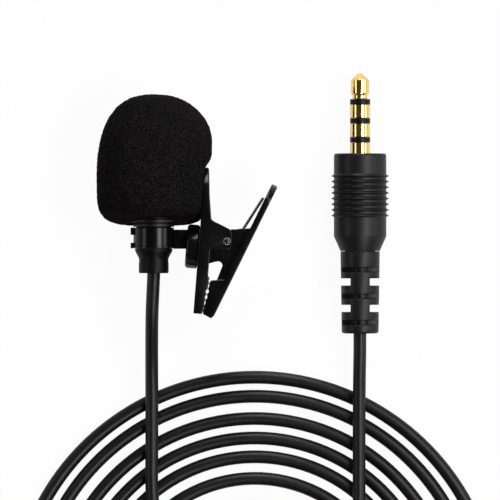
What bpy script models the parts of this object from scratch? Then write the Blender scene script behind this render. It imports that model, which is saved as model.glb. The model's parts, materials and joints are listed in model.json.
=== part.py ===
"""Lavalier microphone: foam-covered head on a turning clip, a thin coiled cord and a 3.5 mm plug.

It lies on its back as it would on a table. +Y is the way the microphone and the plug point, +X is towards
the clip's lever, and z = 0 is the table. Sizes are in millimetres until they reach Blender.
"""

import math

import bmesh
import bpy
from mathutils import Matrix, Vector

MM = 0.001

# Fits
RUNNING = 0.08          # radial clearance of what turns
NEST = 0.04             # radial clearance of what is pushed in
SEAT = 0.05             # gap between faces that touch
CORD_SEAT = 0.3         # gap where the cord meets the boot, the relief and its own coil
ROUND = 32              # facets of a turned piece

# Microphone body: distances along the axis are world Y
MIC_X = -5.68
FOAM_RADIUS = 9.85
FOAM_TOP = 19.31
FOAM_WIDEST = 4.6
FOAM_BOTTOM = -3.36
FOAM_DOME_POWER = 2.5
FOAM_BASE_POWER = 4.2
FOAM_BULGE = 1.05       # how far the dome is squeezed out over the clip plate's thumb end
FOAM_BULGE_HEIGHT = 13.8
FOAM_BULGE_SPAN = 4.7
FOAM_GAP = 0.2          # foam to head, all round
FOAM_DENT_GAP = 0.3     # foam to the clip plate that dents it
MIC_Z = FOAM_RADIUS

HEAD_TOP = 6.5
HEAD_RADIUS = 3.75
HEAD_WALL = 0.41
FLANGE_RADIUS = 4.3
FLANGE_TOP = -2.24
FLANGE_THICK = 0.54
COLLAR_RADIUS = 3.55
COLLAR_TOP = -2.9
COLLAR_THICK = 0.62
NECK_RADIUS = 3.3       # groove between flange and collar
TAIL_RADIUS = 3.0
TAIL_BOTTOM = -7.3
SPIGOT_RADIUS = 1.8
SPIGOT_LENGTH = 2.2
SPIGOT_BORE = 0.95
INNER_RADIUS = 2.2      # chamber behind the capsule

GRILLE_THICK = 0.5
GRILLE_HOLE = 0.45
GRILLE_HOLES = 6
GRILLE_HOLE_RING = 2.0
FELT_THICK = 0.6
CAPSULE_RADIUS = 3.0
CAPSULE_HEIGHT = 2.7
CAPSULE_PORT = 0.9
CAPSULE_PORT_DEPTH = 0.4
BOARD_THICK = 0.6
BOARD_RADIUS = 2.85
WIRE_RADIUS = 0.22
WIRE_OFFSET = 0.42

BOOT_TOP = -7.4
BOOT_TOP_RADIUS = 3.14
BOOT_RADIUS = 2.46
BOOT_CONE = 1.35
BOOT_BOTTOM = -11.21

# Holder ring with its neck and swivel disc
RING_TOP = -3.64
RING_BOTTOM = -7.21
RING_RADIUS = 3.51
SLIT_WIDTH = 0.5
LIP_PROUD = 0.45
LIP_WIDTH = 0.8
LIP_HEIGHTS = ((-3.64, -4.9), (-6.25, -7.21))
NECK_WIDTH = 3.2
NECK_SINK = 0.2         # how deep the neck starts in the ring's wall
NECK_TOP = -4.0
NECK_BOTTOM = -7.3
DISC_RADIUS = 3.77
DISC_THICK = 2.0
DISC_GAP = 0.15         # disc to clip plate

# Clip: its own axes start at the hinge pin, x away from the microphone, y towards the thumb end
PIN_X = 6.96
PIN_Y = -6.0
PIN_RADIUS = 0.55
PIN_SINK = 0.1          # each end below its ear
CLIP_WIDTH = 8.5
PLATE_TILT = math.radians(4.5)
LEVER_TILT = math.radians(26.26)
PIN_TO_PLATE = 4.81     # pin to the plate's outer face
PIN_TO_LEVER = 3.66     # pin to the lever's outer face
PLATE_TOP = 12.4
PLATE_BOTTOM = -12.8
PLATE_TIP = 0.75        # thickness at the thumb end
PLATE_ROOT = 1.8        # thickness at the ears
PLATE_THICK = 2.0
PAD_FLAT = 0.5          # straight end between the round corners of both thumb ends
PAD_STEPS = 8
JAW_TOP = -6.9
JAW_TOP_THICK = 2.35
JAW_BOTTOM_THICK = 1.55
JAW_GAP = 0.12          # tooth tips of the closed jaws
TEETH = 6
TOOTH_DEPTH = 0.42
EAR_THICK = 0.9
EAR_TOP = 3.4
EAR_BOTTOM = -1.6
EAR_REACH = 0.8
LEVER_THICK = 1.1
LEVER_TOP = 12.3
LEVER_BOTTOM = -13.1
WALL_THICK = 0.9
WALL_GAP = 0.15         # lever wall to ear
SWIVEL_DROP = 1.35      # swivel axis below the pin
RIVET_RADIUS = 0.8
RIVET_HEAD = 1.6
RIVET_HEAD_THICK = 0.5
RIVET_BITE = 1.6        # depth in the disc

# Torsion spring
SPRING_WIRE = 0.5
SPRING_RADIUS = 1.2
SPRING_PITCH = 0.95
SPRING_TURNS = 3        # whole turns, besides the part turn between its legs
SPRING_STEPS = 10
SPRING_LEG = 9.45       # along the lever

# Plug
PLUG_X = 29.91
HANDLE_RADIUS = 4.53
RIB_RADIUS = 4.96
RIBS = 8
RIB_TOP = 5.29
RIB_PITCH = 0.976
RIB_HALF = 0.28
HANDLE_TOP = 9.17
HANDLE_ROUND = 0.3
CONE_TOP = -5.16
HANDLE_BOTTOM = -7.67
RELIEF_TOP_RADIUS = 3.39
RELIEF_RADIUS = 3.19
RELIEF_BOTTOM = -21.91
RELIEF_SPIGOT = 2.6
RELIEF_SPIGOT_LENGTH = 2.6
RELIEF_BORE = 0.6
CORE_RADIUS = 1.64      # round web that the slots leave
SLOT_PITCH = 4.565
SLOT_TOP = -10.9        # middle of the first front slot
SLOT_HEIGHT = 0.85
NOTCH_TOP = -13.02      # middle of the first side notch
NOTCH_HEIGHT = 1.24
WEB_HALF = 0.9          # half thickness of the web under the front slots
SOLDER_CHAMBER = 2.2
PLUG_Z = RIB_RADIUS
CONTACT_RADIUS = 1.75
INSULATOR_RADIUS = 1.75
ROD_RADIUS = 0.75
SLEEVE_LENGTH = 1.86
RING_LENGTH = 2.33
INSULATOR_LENGTH = 0.95
TIP_LENGTH = 4.47
TIP_RADIUS = 1.57
TIP_NECK = 1.3
SLEEVE_SEAT = 3.9       # how far the sleeve runs into the handle
ROD_TAIL = 6.0          # rod behind the handle's front face

# Cord: one lead, coiled flat below the microphone
CORD_DIAMETER = 2.25
CORD_LENGTH = 1500.0
COIL_X = 11.72
COIL_Y = -71.16
COIL_Z = 1.13
ARC_RADII = (19.2, 24.12, 27.86, 31.11, 34.49, 38.33, 41.63)
COIL_START_RADIUS = 15.5
COIL_FLAT = 4.8         # how much shallower the lower half of each turn is
COIL_END_GROWTH = 2.87
COIL_END_ANGLE = 245
LOOP_STEPS = 24
OVER_Z = 3.47           # where the leads lie across the coil
LEAD_STEP = 5.4
AXIS_MARK = 3.0         # drawn length of an empty's arms

MIC_LEAD_ROUTE = (
    (-5.68, -11.51, 9.85), (-5.8, -14.2, 9.8), (-5.98, -18.4, 8.95), (-6.05, -22.8, 6.85),
    (-6.08, -27.2, 4.65), (-6.08, -31.2, 3.6), (-6.08, -35.5, OVER_Z), (-6.08, -42.0, OVER_Z),
    (-6.08, -48.5, OVER_Z), (-5.55, -54.5, OVER_Z), (-4.5, -59.6, 3.62), (-3.9, -62.9, 3.45),
    (-3.8, -66.3, 1.65), (-3.78, -68.6, COIL_Z),
)
PLUG_LEAD_ROUTE = (
    (-4.45, -108.25, COIL_Z), (1.0, -110.0, COIL_Z), (8.0, -111.1, COIL_Z), (14.5, -110.5, 1.7),
    (20.4, -107.7, 3.3), (25.2, -102.8, OVER_Z), (28.1, -97.0, OVER_Z), (29.4, -90.5, OVER_Z),
    (29.75, -84.0, OVER_Z), (29.75, -76.0, OVER_Z), (29.75, -68.0, OVER_Z), (29.75, -60.0, OVER_Z),
    (29.75, -53.0, OVER_Z), (29.75, -46.0, OVER_Z), (29.75, -39.0, OVER_Z), (29.78, -32.5, 3.75),
    (29.83, -27.5, 4.6), (29.87, -24.6, 4.94), (29.87, -22.21, 4.96),
)

UPRIGHT = Matrix.Rotation(-math.pi / 2, 4, "X")     # a turned piece's own Z becomes world +Y


def clear_scene():
    for old in list(bpy.data.objects):
        bpy.data.objects.remove(old, do_unlink=True)


def new_collection(name, hidden=False):
    collection = bpy.data.collections.new(name)
    collection.hide_render = hidden
    bpy.context.scene.collection.children.link(collection)
    return collection


def material(name, colour, roughness, metallic=0.0):
    made = bpy.data.materials.new(name)
    made.use_nodes = True
    shader = made.node_tree.nodes["Principled BSDF"]
    shader.inputs["Base Color"].default_value = (*colour, 1.0)
    shader.inputs["Roughness"].default_value = roughness
    shader.inputs["Metallic"].default_value = metallic
    made.diffuse_color = (*colour, 1.0)
    return made


def keep(obj, made_of, parent=None):
    """Puts a finished piece among the parts, with its material and its parent."""
    for old in list(obj.users_collection):
        old.objects.unlink(obj)
    parts.objects.link(obj)
    obj.data.materials.clear()
    obj.data.materials.append(made_of)
    if parent is not None:
        bpy.context.view_layer.update()
        obj.parent = parent
        obj.matrix_parent_inverse = parent.matrix_world.inverted()
    return obj


def helper(obj):
    """Puts a cutter, or a shape that is joined to a part, among the helpers."""
    for old in list(obj.users_collection):
        old.objects.unlink(obj)
    helpers.objects.link(obj)
    obj.hide_render = True
    obj.display_type = "WIRE"
    return obj


def combine(obj, other, operation):
    modifier = obj.modifiers.new(operation.title(), "BOOLEAN")
    modifier.operation = operation
    modifier.object = helper(other)
    return obj


def turned(name, profile, closed=False, steps=ROUND):
    """A solid turned about its own Z. The profile is (radius, height), top to bottom on the outside."""
    mesh = bpy.data.meshes.new(name)
    made = bmesh.new()
    points = [made.verts.new((r * MM, 0.0, z * MM)) for r, z in profile]
    for first, second in zip(points, points[1:]):
        made.edges.new((first, second))
    if closed:
        made.edges.new((points[-1], points[0]))
    made.to_mesh(mesh)
    made.free()
    obj = bpy.data.objects.new(name, mesh)
    bpy.context.scene.collection.objects.link(obj)
    screw = obj.modifiers.new("Turn", "SCREW")
    screw.steps = steps
    screw.render_steps = steps
    screw.use_merge_vertices = True
    screw.merge_threshold = 0.00001
    screw.use_smooth_shade = True
    return obj


def on_axis(obj, x, z):
    obj.matrix_world = Matrix.Translation(Vector((x, 0.0, z)) * MM) @ UPRIGHT
    return obj


def cylinder(name, radius, depth, place, facets=ROUND):
    """A cylinder along the Z of place, a matrix in metres at its middle."""
    bpy.ops.mesh.primitive_cylinder_add(vertices=facets, radius=radius * MM, depth=depth * MM)
    obj = bpy.context.object
    obj.name = name
    obj.matrix_world = place
    return obj


def box(name, low, high, place=Matrix.Identity(4)):
    """A box between two corners, given in the axes of place."""
    mesh = bpy.data.meshes.new(name)
    made = bmesh.new()
    bmesh.ops.create_cube(made, size=1.0)
    size = [(b - a) * MM for a, b in zip(low, high)]
    middle = [(a + b) / 2 * MM for a, b in zip(low, high)]
    bmesh.ops.scale(made, vec=size, verts=made.verts)
    bmesh.ops.translate(made, vec=middle, verts=made.verts)
    made.to_mesh(mesh)
    made.free()
    obj = bpy.data.objects.new(name, mesh)
    bpy.context.scene.collection.objects.link(obj)
    obj.matrix_world = place
    return obj


def as_mesh(curve, name):
    """A curve made a closed mesh, with its caps welded to its sides."""
    bpy.context.view_layer.update()
    graph = bpy.context.evaluated_depsgraph_get()
    mesh = bpy.data.meshes.new_from_object(curve.evaluated_get(graph))
    welded = bmesh.new()
    welded.from_mesh(mesh)
    bmesh.ops.remove_doubles(welded, verts=welded.verts, dist=0.000001)
    bmesh.ops.recalc_face_normals(welded, faces=welded.faces)
    welded.to_mesh(mesh)
    welded.free()
    obj = bpy.data.objects.new(name, mesh)
    bpy.context.scene.collection.objects.link(obj)
    obj.matrix_world = curve.matrix_world.copy()
    bpy.data.objects.remove(curve, do_unlink=True)
    return obj


def outline(name, points, low, high, place):
    """A flat outline, thick from z = low to z = high in the axes of place."""
    data = bpy.data.curves.new(name, "CURVE")
    data.dimensions = "2D"
    data.fill_mode = "BOTH"
    data.extrude = (high - low) / 2 * MM
    spline = data.splines.new("POLY")
    spline.points.add(len(points) - 1)
    for point, (x, y) in zip(spline.points, points):
        point.co = (x * MM, y * MM, 0.0, 1.0)
    spline.use_cyclic_u = True
    curve = bpy.data.objects.new(name + "_outline", data)
    bpy.context.scene.collection.objects.link(curve)
    curve.matrix_world = place @ Matrix.Translation((0.0, 0.0, (low + high) / 2 * MM))
    return as_mesh(curve, name)


def tube(name, points, radius, resolution=2):
    """A round tube through points in millimetres, a POLY curve with filled caps."""
    data = bpy.data.curves.new(name, "CURVE")
    data.dimensions = "3D"
    data.bevel_depth = radius * MM
    data.bevel_resolution = resolution
    data.use_fill_caps = True
    spline = data.splines.new("POLY")
    spline.points.add(len(points) - 1)
    for point, place in zip(spline.points, points):
        point.co = (*(Vector(place) * MM), 1.0)
    spline.use_smooth = True
    obj = bpy.data.objects.new(name, data)
    bpy.context.scene.collection.objects.link(obj)
    return obj


def smooth_route(route, step):
    """Points about step apart on a smooth curve through the route's own points."""
    corners = [Vector(p) for p in route]
    ends = [2 * corners[0] - corners[1]] + corners + [2 * corners[-1] - corners[-2]]
    fine = []
    for before, start, end, after in zip(ends, ends[1:], ends[2:], ends[3:]):
        span = (end - start).length
        leave = (end - before) * (span / ((start - before).length + span))
        arrive = (after - start) * (span / (span + (after - end).length))
        for k in range(20):
            t = k / 20
            fine.append(
                start * (2 * t**3 - 3 * t**2 + 1) + leave * (t**3 - 2 * t**2 + t)
                + end * (3 * t**2 - 2 * t**3) + arrive * (t**3 - t**2)
            )
    fine.append(corners[-1])
    return evenly(fine, step)


def evenly(points, step):
    """The same line with its points a whole number of equal steps apart, each about step long."""
    run = [0.0]
    for first, second in zip(points, points[1:]):
        run.append(run[-1] + (second - first).length)
    count = max(2, round(run[-1] / step))
    found = []
    at = 0
    for k in range(count + 1):
        want = run[-1] * k / count
        while at < len(points) - 2 and run[at + 1] < want:
            at += 1
        share = (want - run[at]) / (run[at + 1] - run[at])
        found.append(points[at].lerp(points[at + 1], min(1.0, share)))
    return found


def length_of(points):
    return sum((second - first).length for first, second in zip(points, points[1:]))


def least_gap(points, diameter, apart):
    """The least gap between stretches of one tube that are at least apart points from each other."""
    least = min(
        (points[i] - points[j]).length
        for i in range(len(points)) for j in range(i + apart, len(points))
    )
    return least - diameter


def joint_empty(name, x, y, z, parent=None):
    empty = bpy.data.objects.new(name, None)
    empty.empty_display_size = AXIS_MARK * MM
    parts.objects.link(empty)
    empty.location = (x * MM, y * MM, z * MM)
    bpy.context.view_layer.update()
    if parent is not None:
        empty.parent = parent
        empty.matrix_parent_inverse = parent.matrix_world.inverted()
    return empty


# Clip geometry shared by its pieces

def clip_axes(tilt):
    """The matrix of the plate's or the lever's own axes, at the hinge pin."""
    pin = Vector((PIN_X, PIN_Y, MIC_Z)) * MM
    return Matrix.Translation(pin) @ Matrix.Rotation(-tilt, 4, "Z")


def swivel_axes():
    """At the swivel axis on the plate's outer face, Z pointing into the clip."""
    place = clip_axes(PLATE_TILT)
    place = place @ Matrix.Translation(Vector((-PIN_TO_PLATE, -SWIVEL_DROP, 0.0)) * MM)
    return place @ Matrix.Rotation(math.pi / 2, 4, "Y")


def jaw_thickness(y):
    share = (JAW_TOP - y) / (JAW_TOP - PLATE_BOTTOM)
    return JAW_TOP_THICK + share * (JAW_BOTTOM_THICK - JAW_TOP_THICK)


def jaw_line(side):
    """The toothed edge of one jaw in the plate's axes. side is 0 for the plate and 1 for the lever."""
    pitch = (JAW_TOP - PLATE_BOTTOM) / TEETH
    points = []
    for tooth in range(TEETH):
        y = JAW_TOP - tooth * pitch
        for share, depth in ((0.02, TOOTH_DEPTH), (0.5, 0.0)):
            at = y - share * pitch
            into = depth + (JAW_GAP if side else 0.0)
            reach = jaw_thickness(at) + (into if side else -into)
            points.append((reach - PIN_TO_PLATE, at))
    return points


def in_lever_axes(point):
    """A point of the plate's axes, seen from the closed lever."""
    turn = LEVER_TILT - PLATE_TILT
    x, y = point
    return (x * math.cos(turn) - y * math.sin(turn), x * math.sin(turn) + y * math.cos(turn))


# Microphone

def foam_profile():
    points = []
    for k in range(12):
        angle = math.pi / 2 * k / 12
        height = math.cos(angle) ** (2 / FOAM_DOME_POWER)
        radius = math.sin(angle) ** (2 / FOAM_DOME_POWER)
        points.append((FOAM_RADIUS * radius, FOAM_WIDEST + (FOAM_TOP - FOAM_WIDEST) * height))
    for k in range(8):
        angle = math.pi / 2 * k / 8
        height = math.sin(angle) ** (2 / FOAM_BASE_POWER)
        radius = math.cos(angle) ** (2 / FOAM_BASE_POWER)
        points.append((FOAM_RADIUS * radius, FOAM_WIDEST + (FOAM_BOTTOM - FOAM_WIDEST) * height))
    mouth = FLANGE_RADIUS + FOAM_GAP
    bore = HEAD_RADIUS + FOAM_GAP
    points += [
        (mouth, FOAM_BOTTOM), (mouth, FLANGE_TOP + FOAM_GAP), (bore, FLANGE_TOP + FOAM_GAP),
        (bore, HEAD_TOP + FOAM_GAP), (0.0, HEAD_TOP + FOAM_GAP),
    ]
    return points


def bulged(foam, name):
    """The turned foam as a mesh, its dome pushed out on the clip's side, where the plate squeezes it up."""
    foam = as_mesh(foam, name)
    bore = (HEAD_RADIUS + 2 * FOAM_GAP) * MM
    for vertex in foam.data.vertices:
        if math.hypot(vertex.co.x, vertex.co.y) > bore:
            side = min(1.0, max(0.0, 2 * vertex.co.x / (FOAM_RADIUS * MM)))
            away = (vertex.co.z / MM - FOAM_BULGE_HEIGHT) / FOAM_BULGE_SPAN
            vertex.co.x += FOAM_BULGE * MM * side * math.exp(-away * away)
    return foam


def foam_windscreen(slide_axis):
    foam = bulged(on_axis(turned("foam_turned", foam_profile(), steps=40), MIC_X, MIC_Z), "foam_windscreen")
    reach = PLATE_TOP + SWIVEL_DROP + 2 * FOAM_DENT_GAP
    depth = FOAM_RADIUS
    place = swivel_axes() @ Matrix.Translation((0.0, 0.0, (depth / 2 - FOAM_DENT_GAP) * MM))
    combine(foam, cylinder("foam_dent", reach, depth, place, 48), "DIFFERENCE")
    return keep(foam, black_foam, slide_axis)


def housing():
    shoulder = capsule_bottom() - BOARD_THICK - 2 * SEAT
    profile = [
        (HEAD_RADIUS, HEAD_TOP - GRILLE_THICK - SEAT), (HEAD_RADIUS, FLANGE_TOP),
        (FLANGE_RADIUS, FLANGE_TOP), (FLANGE_RADIUS, FLANGE_TOP - FLANGE_THICK),
        (NECK_RADIUS, FLANGE_TOP - FLANGE_THICK), (NECK_RADIUS, COLLAR_TOP),
        (COLLAR_RADIUS, COLLAR_TOP), (COLLAR_RADIUS, COLLAR_TOP - COLLAR_THICK),
        (TAIL_RADIUS, COLLAR_TOP - COLLAR_THICK), (TAIL_RADIUS, TAIL_BOTTOM),
        (SPIGOT_RADIUS, TAIL_BOTTOM), (SPIGOT_RADIUS, TAIL_BOTTOM - SPIGOT_LENGTH),
        (SPIGOT_BORE, TAIL_BOTTOM - SPIGOT_LENGTH), (SPIGOT_BORE, TAIL_BOTTOM + SEAT),
        (INNER_RADIUS, TAIL_BOTTOM + SEAT + INNER_RADIUS - SPIGOT_BORE), (INNER_RADIUS, shoulder),
        (HEAD_RADIUS - HEAD_WALL, shoulder), (HEAD_RADIUS - HEAD_WALL, HEAD_TOP - GRILLE_THICK - SEAT),
    ]
    return keep(on_axis(turned("housing", profile, closed=True), MIC_X, MIC_Z), satin_black)


def capsule_top():
    return HEAD_TOP - GRILLE_THICK - FELT_THICK - 2 * SEAT


def capsule_bottom():
    return capsule_top() - CAPSULE_HEIGHT


def gasket_radius():
    return HEAD_RADIUS - HEAD_WALL - NEST


def head_grille():
    spigot = capsule_top() + SEAT
    inner = CAPSULE_RADIUS - 2 * NEST
    under = HEAD_TOP - GRILLE_THICK
    profile = [
        (0.0, HEAD_TOP), (HEAD_RADIUS, HEAD_TOP), (HEAD_RADIUS, under), (gasket_radius(), under),
        (gasket_radius(), spigot), (inner, spigot), (inner, under), (0.0, under),
    ]
    grille = on_axis(turned("head_grille", profile), MIC_X, MIC_Z)
    for k in range(GRILLE_HOLES):
        angle = 2 * math.pi * k / GRILLE_HOLES
        x = MIC_X + GRILLE_HOLE_RING * math.cos(angle)
        z = MIC_Z + GRILLE_HOLE_RING * math.sin(angle)
        place = Matrix.Translation(Vector((x, HEAD_TOP - GRILLE_THICK / 2, z)) * MM) @ UPRIGHT
        hole = cylinder("grille_hole_%d" % (k + 1), GRILLE_HOLE, 3 * GRILLE_THICK, place, 12)
        combine(grille, hole, "DIFFERENCE")
    return keep(grille, bright_metal)


def dust_felt():
    top = HEAD_TOP - GRILLE_THICK - SEAT
    radius = CAPSULE_RADIUS - 3 * NEST - SEAT
    profile = [(0.0, top), (radius, top), (radius, top - FELT_THICK), (0.0, top - FELT_THICK)]
    return keep(on_axis(turned("dust_felt", profile), MIC_X, MIC_Z), felt)


def electret_capsule():
    top = capsule_top()
    profile = [
        (0.0, top - CAPSULE_PORT_DEPTH), (CAPSULE_PORT, top - CAPSULE_PORT_DEPTH), (CAPSULE_PORT, top),
        (CAPSULE_RADIUS, top), (CAPSULE_RADIUS, capsule_bottom()), (0.0, capsule_bottom()),
    ]
    return keep(on_axis(turned("electret_capsule", profile), MIC_X, MIC_Z), aluminium)


def capsule_gasket():
    inner = CAPSULE_RADIUS + NEST
    top = capsule_top()
    bottom = capsule_bottom() - BOARD_THICK - SEAT
    profile = [(gasket_radius(), top), (gasket_radius(), bottom), (inner, bottom), (inner, top)]
    return keep(on_axis(turned("capsule_gasket", profile, closed=True), MIC_X, MIC_Z), rubber)


def capsule_board():
    top = capsule_bottom() - SEAT
    bottom = top - BOARD_THICK
    profile = [(0.0, top), (BOARD_RADIUS, top), (BOARD_RADIUS, bottom), (0.0, bottom)]
    return keep(on_axis(turned("capsule_board", profile), MIC_X, MIC_Z), board_green)


def inner_wire(name, side, made_of):
    top = capsule_bottom() - BOARD_THICK - 2 * SEAT
    spread = 2.4 * WIRE_OFFSET
    route = [
        (MIC_X + side * spread, top, MIC_Z), (MIC_X + side * spread, top - 1.0, MIC_Z),
        (MIC_X + side * 0.8 * spread, (top + TAIL_BOTTOM) / 2, MIC_Z),
        (MIC_X + side * WIRE_OFFSET, TAIL_BOTTOM + 1.0, MIC_Z),
        (MIC_X + side * WIRE_OFFSET, TAIL_BOTTOM - SPIGOT_LENGTH, MIC_Z),
        (MIC_X + side * WIRE_OFFSET, BOOT_BOTTOM, MIC_Z),
    ]
    return keep(tube(name, smooth_route(route, 1.0), WIRE_RADIUS, 1), made_of)


def strain_boot():
    bore = SPIGOT_RADIUS + NEST
    deep = TAIL_BOTTOM - SPIGOT_LENGTH - SEAT
    profile = [
        (BOOT_TOP_RADIUS, BOOT_TOP), (BOOT_RADIUS, BOOT_TOP - BOOT_CONE), (BOOT_RADIUS, BOOT_BOTTOM),
        (SPIGOT_BORE, BOOT_BOTTOM), (SPIGOT_BORE, deep), (bore, deep), (bore, BOOT_TOP),
    ]
    return keep(on_axis(turned("strain_boot", profile, closed=True), MIC_X, MIC_Z), rubber)


# Holder and clip

def holder_ring(turn_axis):
    inner = TAIL_RADIUS + RUNNING
    profile = [(RING_RADIUS, RING_TOP), (RING_RADIUS, RING_BOTTOM), (inner, RING_BOTTOM), (inner, RING_TOP)]
    ring = on_axis(turned("holder_ring", profile, closed=True), MIC_X, MIC_Z)
    middle = swivel_axes() @ Matrix.Translation((0.0, 0.0, -(DISC_GAP + DISC_THICK / 2) * MM))
    disc_middle = middle.translation / MM
    low = (MIC_X + inner + NECK_SINK, NECK_BOTTOM, MIC_Z - NECK_WIDTH / 2)
    high = (disc_middle.x, NECK_TOP, MIC_Z + NECK_WIDTH / 2)
    combine(ring, box("neck", low, high), "UNION")
    combine(ring, cylinder("swivel_disc", DISC_RADIUS, DISC_THICK, middle), "UNION")
    for k, (top, bottom) in enumerate(LIP_HEIGHTS):
        outer = MIC_X - RING_RADIUS - LIP_PROUD
        low = (outer, bottom, MIC_Z - LIP_WIDTH - SLIT_WIDTH / 2)
        high = (MIC_X - (inner + RING_RADIUS) / 2, top, MIC_Z + LIP_WIDTH + SLIT_WIDTH / 2)
        combine(ring, box("lip_%d" % (k + 1), low, high), "UNION")
    low = (MIC_X - 2 * RING_RADIUS, RING_BOTTOM - SLIT_WIDTH, MIC_Z - SLIT_WIDTH / 2)
    high = (MIC_X - inner + SLIT_WIDTH, RING_TOP + SLIT_WIDTH, MIC_Z + SLIT_WIDTH / 2)
    combine(ring, box("slit", low, high), "DIFFERENCE")
    deep = RIVET_BITE + DISC_GAP + SEAT
    place = swivel_axes() @ Matrix.Translation((0.0, 0.0, (DISC_THICK - deep) / 2 * MM))
    combine(ring, cylinder("rivet_seat", RIVET_RADIUS + NEST, deep + DISC_THICK, place, 24), "DIFFERENCE")
    return keep(ring, gloss_black, turn_axis)


def swivel_rivet(turn_axis):
    under = PLATE_THICK + RUNNING
    top = under + RIVET_HEAD_THICK
    profile = [
        (0.0, top), (RIVET_HEAD, top), (RIVET_HEAD, under), (RIVET_RADIUS, under),
        (RIVET_RADIUS, -DISC_GAP - RIVET_BITE), (0.0, -DISC_GAP - RIVET_BITE),
    ]
    rivet = turned("swivel_rivet", profile, steps=24)
    rivet.matrix_world = swivel_axes()
    return keep(rivet, steel, turn_axis)


def plate_outline():
    points = [
        (0.0, PLATE_TOP - PLATE_TIP / 2), (0.35 * PLATE_TIP, PLATE_TOP), (PLATE_TIP, PLATE_TOP - PLATE_TIP / 2),
        (PLATE_ROOT, EAR_TOP), (PLATE_THICK, EAR_BOTTOM), (PLATE_THICK, JAW_TOP + 0.4),
    ]
    outer = [(x - PIN_TO_PLATE, y) for x, y in points]
    end = [
        (jaw_thickness(PLATE_BOTTOM) - 0.2 - PIN_TO_PLATE, PLATE_BOTTOM),
        (-PIN_TO_PLATE, PLATE_BOTTOM),
    ]
    return outer + jaw_line(0) + end


def ear_outline():
    root = PLATE_ROOT / 2 - PIN_TO_PLATE
    return [
        (root, EAR_TOP), (PLATE_ROOT - PIN_TO_PLATE, EAR_TOP), (-1.3, 0.8 * EAR_TOP),
        (0.15 * EAR_REACH, 0.68 * EAR_TOP), (0.77 * EAR_REACH, 0.5 * EAR_TOP), (EAR_REACH, 0.18 * EAR_TOP),
        (EAR_REACH, 0.47 * EAR_BOTTOM), (0.7 * EAR_REACH, 0.88 * EAR_BOTTOM), (0.3 * EAR_REACH, EAR_BOTTOM),
        (root, EAR_BOTTOM),
    ]


def round_pad(piece, place, top):
    """Trims a jaw to its width with the two corners of its thumb end rounded."""
    half = CLIP_WIDTH / 2
    rounding = half - PAD_FLAT / 2
    corner = [
        (half - rounding * (1 - math.cos(a)), top - rounding * (1 - math.sin(a)))
        for a in [math.pi / 2 * k / PAD_STEPS for k in range(PAD_STEPS + 1)]
    ]
    mirrored = [(-x, y) for x, y in reversed(corner)]
    sides = place @ Matrix.Rotation(math.pi / 2, 4, "Y")
    pad = corner + mirrored + [(-half, -2 * top), (half, -2 * top)]
    return combine(piece, outline("thumb_pad", pad, -CLIP_WIDTH, CLIP_WIDTH, sides), "INTERSECT")


def clip_plate(swivel_axis):
    place = clip_axes(PLATE_TILT)
    half = CLIP_WIDTH / 2
    plate = outline("clip_plate", plate_outline(), -half - SEAT, half + SEAT, place)
    round_pad(plate, place, PLATE_TOP + SEAT)
    for name, low in (("ear_back", -half), ("ear_front", half - EAR_THICK)):
        combine(plate, outline(name, ear_outline(), low, low + EAR_THICK, place), "UNION")
    hole = cylinder("plate_pin_hole", PIN_RADIUS + NEST, 2 * CLIP_WIDTH, place, 24)
    combine(plate, hole, "DIFFERENCE")
    middle = swivel_axes() @ Matrix.Translation((0.0, 0.0, PLATE_THICK / 2 * MM))
    hole = cylinder("rivet_hole", RIVET_RADIUS + RUNNING, 2 * PLATE_THICK, middle, 24)
    combine(plate, hole, "DIFFERENCE")
    return keep(plate, gloss_black, swivel_axis)


def lever_outline():
    inner = PIN_TO_LEVER - LEVER_THICK
    outer = PIN_TO_LEVER
    points = [(outer, LEVER_TOP), (inner, LEVER_TOP), (inner, JAW_TOP + 0.7), (inner - 0.9, JAW_TOP + 0.3)]
    points += [in_lever_axes(point) for point in jaw_line(1)]
    low = in_lever_axes((jaw_thickness(PLATE_BOTTOM) + JAW_GAP + 0.1 - PIN_TO_PLATE, PLATE_BOTTOM))
    return points + [low, (outer - 0.3, LEVER_BOTTOM), (outer, LEVER_BOTTOM + 0.6)]


def wall_outline():
    """The lever's side wall, round the pin and down beside the see-through window."""
    inner = PIN_TO_LEVER - LEVER_THICK
    root = PIN_TO_LEVER - LEVER_THICK / 2
    boss = 1.4
    left = [(-boss * math.sin(a), boss * math.cos(a)) for a in (0.35, 1.0, 1.6)]
    beside = PLATE_THICK + WALL_GAP - PIN_TO_PLATE
    left += [in_lever_axes((beside, y)) for y in (-2.0, -4.0)]
    return [
        (root, 3.7), (inner, 3.5), (-0.28, 1.95), *left, (0.23, -3.7),
        (1.12, -4.1), (inner - 1.0, JAW_TOP + 0.2), (root, JAW_TOP),
    ]


def clip_lever(hinge_axis):
    place = clip_axes(LEVER_TILT)
    half = CLIP_WIDTH / 2
    lever = outline("clip_lever", lever_outline(), -half - SEAT, half + SEAT, place)
    round_pad(lever, place, LEVER_TOP + SEAT)
    outer = half - EAR_THICK - WALL_GAP
    for name, low in (("wall_back", -outer), ("wall_front", outer - WALL_THICK)):
        combine(lever, outline(name, wall_outline(), low, low + WALL_THICK, place), "UNION")
    hole = cylinder("lever_pin_hole", PIN_RADIUS + RUNNING, 2 * CLIP_WIDTH, place, 24)
    combine(lever, hole, "DIFFERENCE")
    return keep(lever, gloss_black, hinge_axis)


def hinge_pin(swivel_axis):
    pin = cylinder("hinge_pin", PIN_RADIUS, CLIP_WIDTH - 2 * PIN_SINK, clip_axes(PLATE_TILT), 24)
    return keep(pin, steel, swivel_axis)


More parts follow.
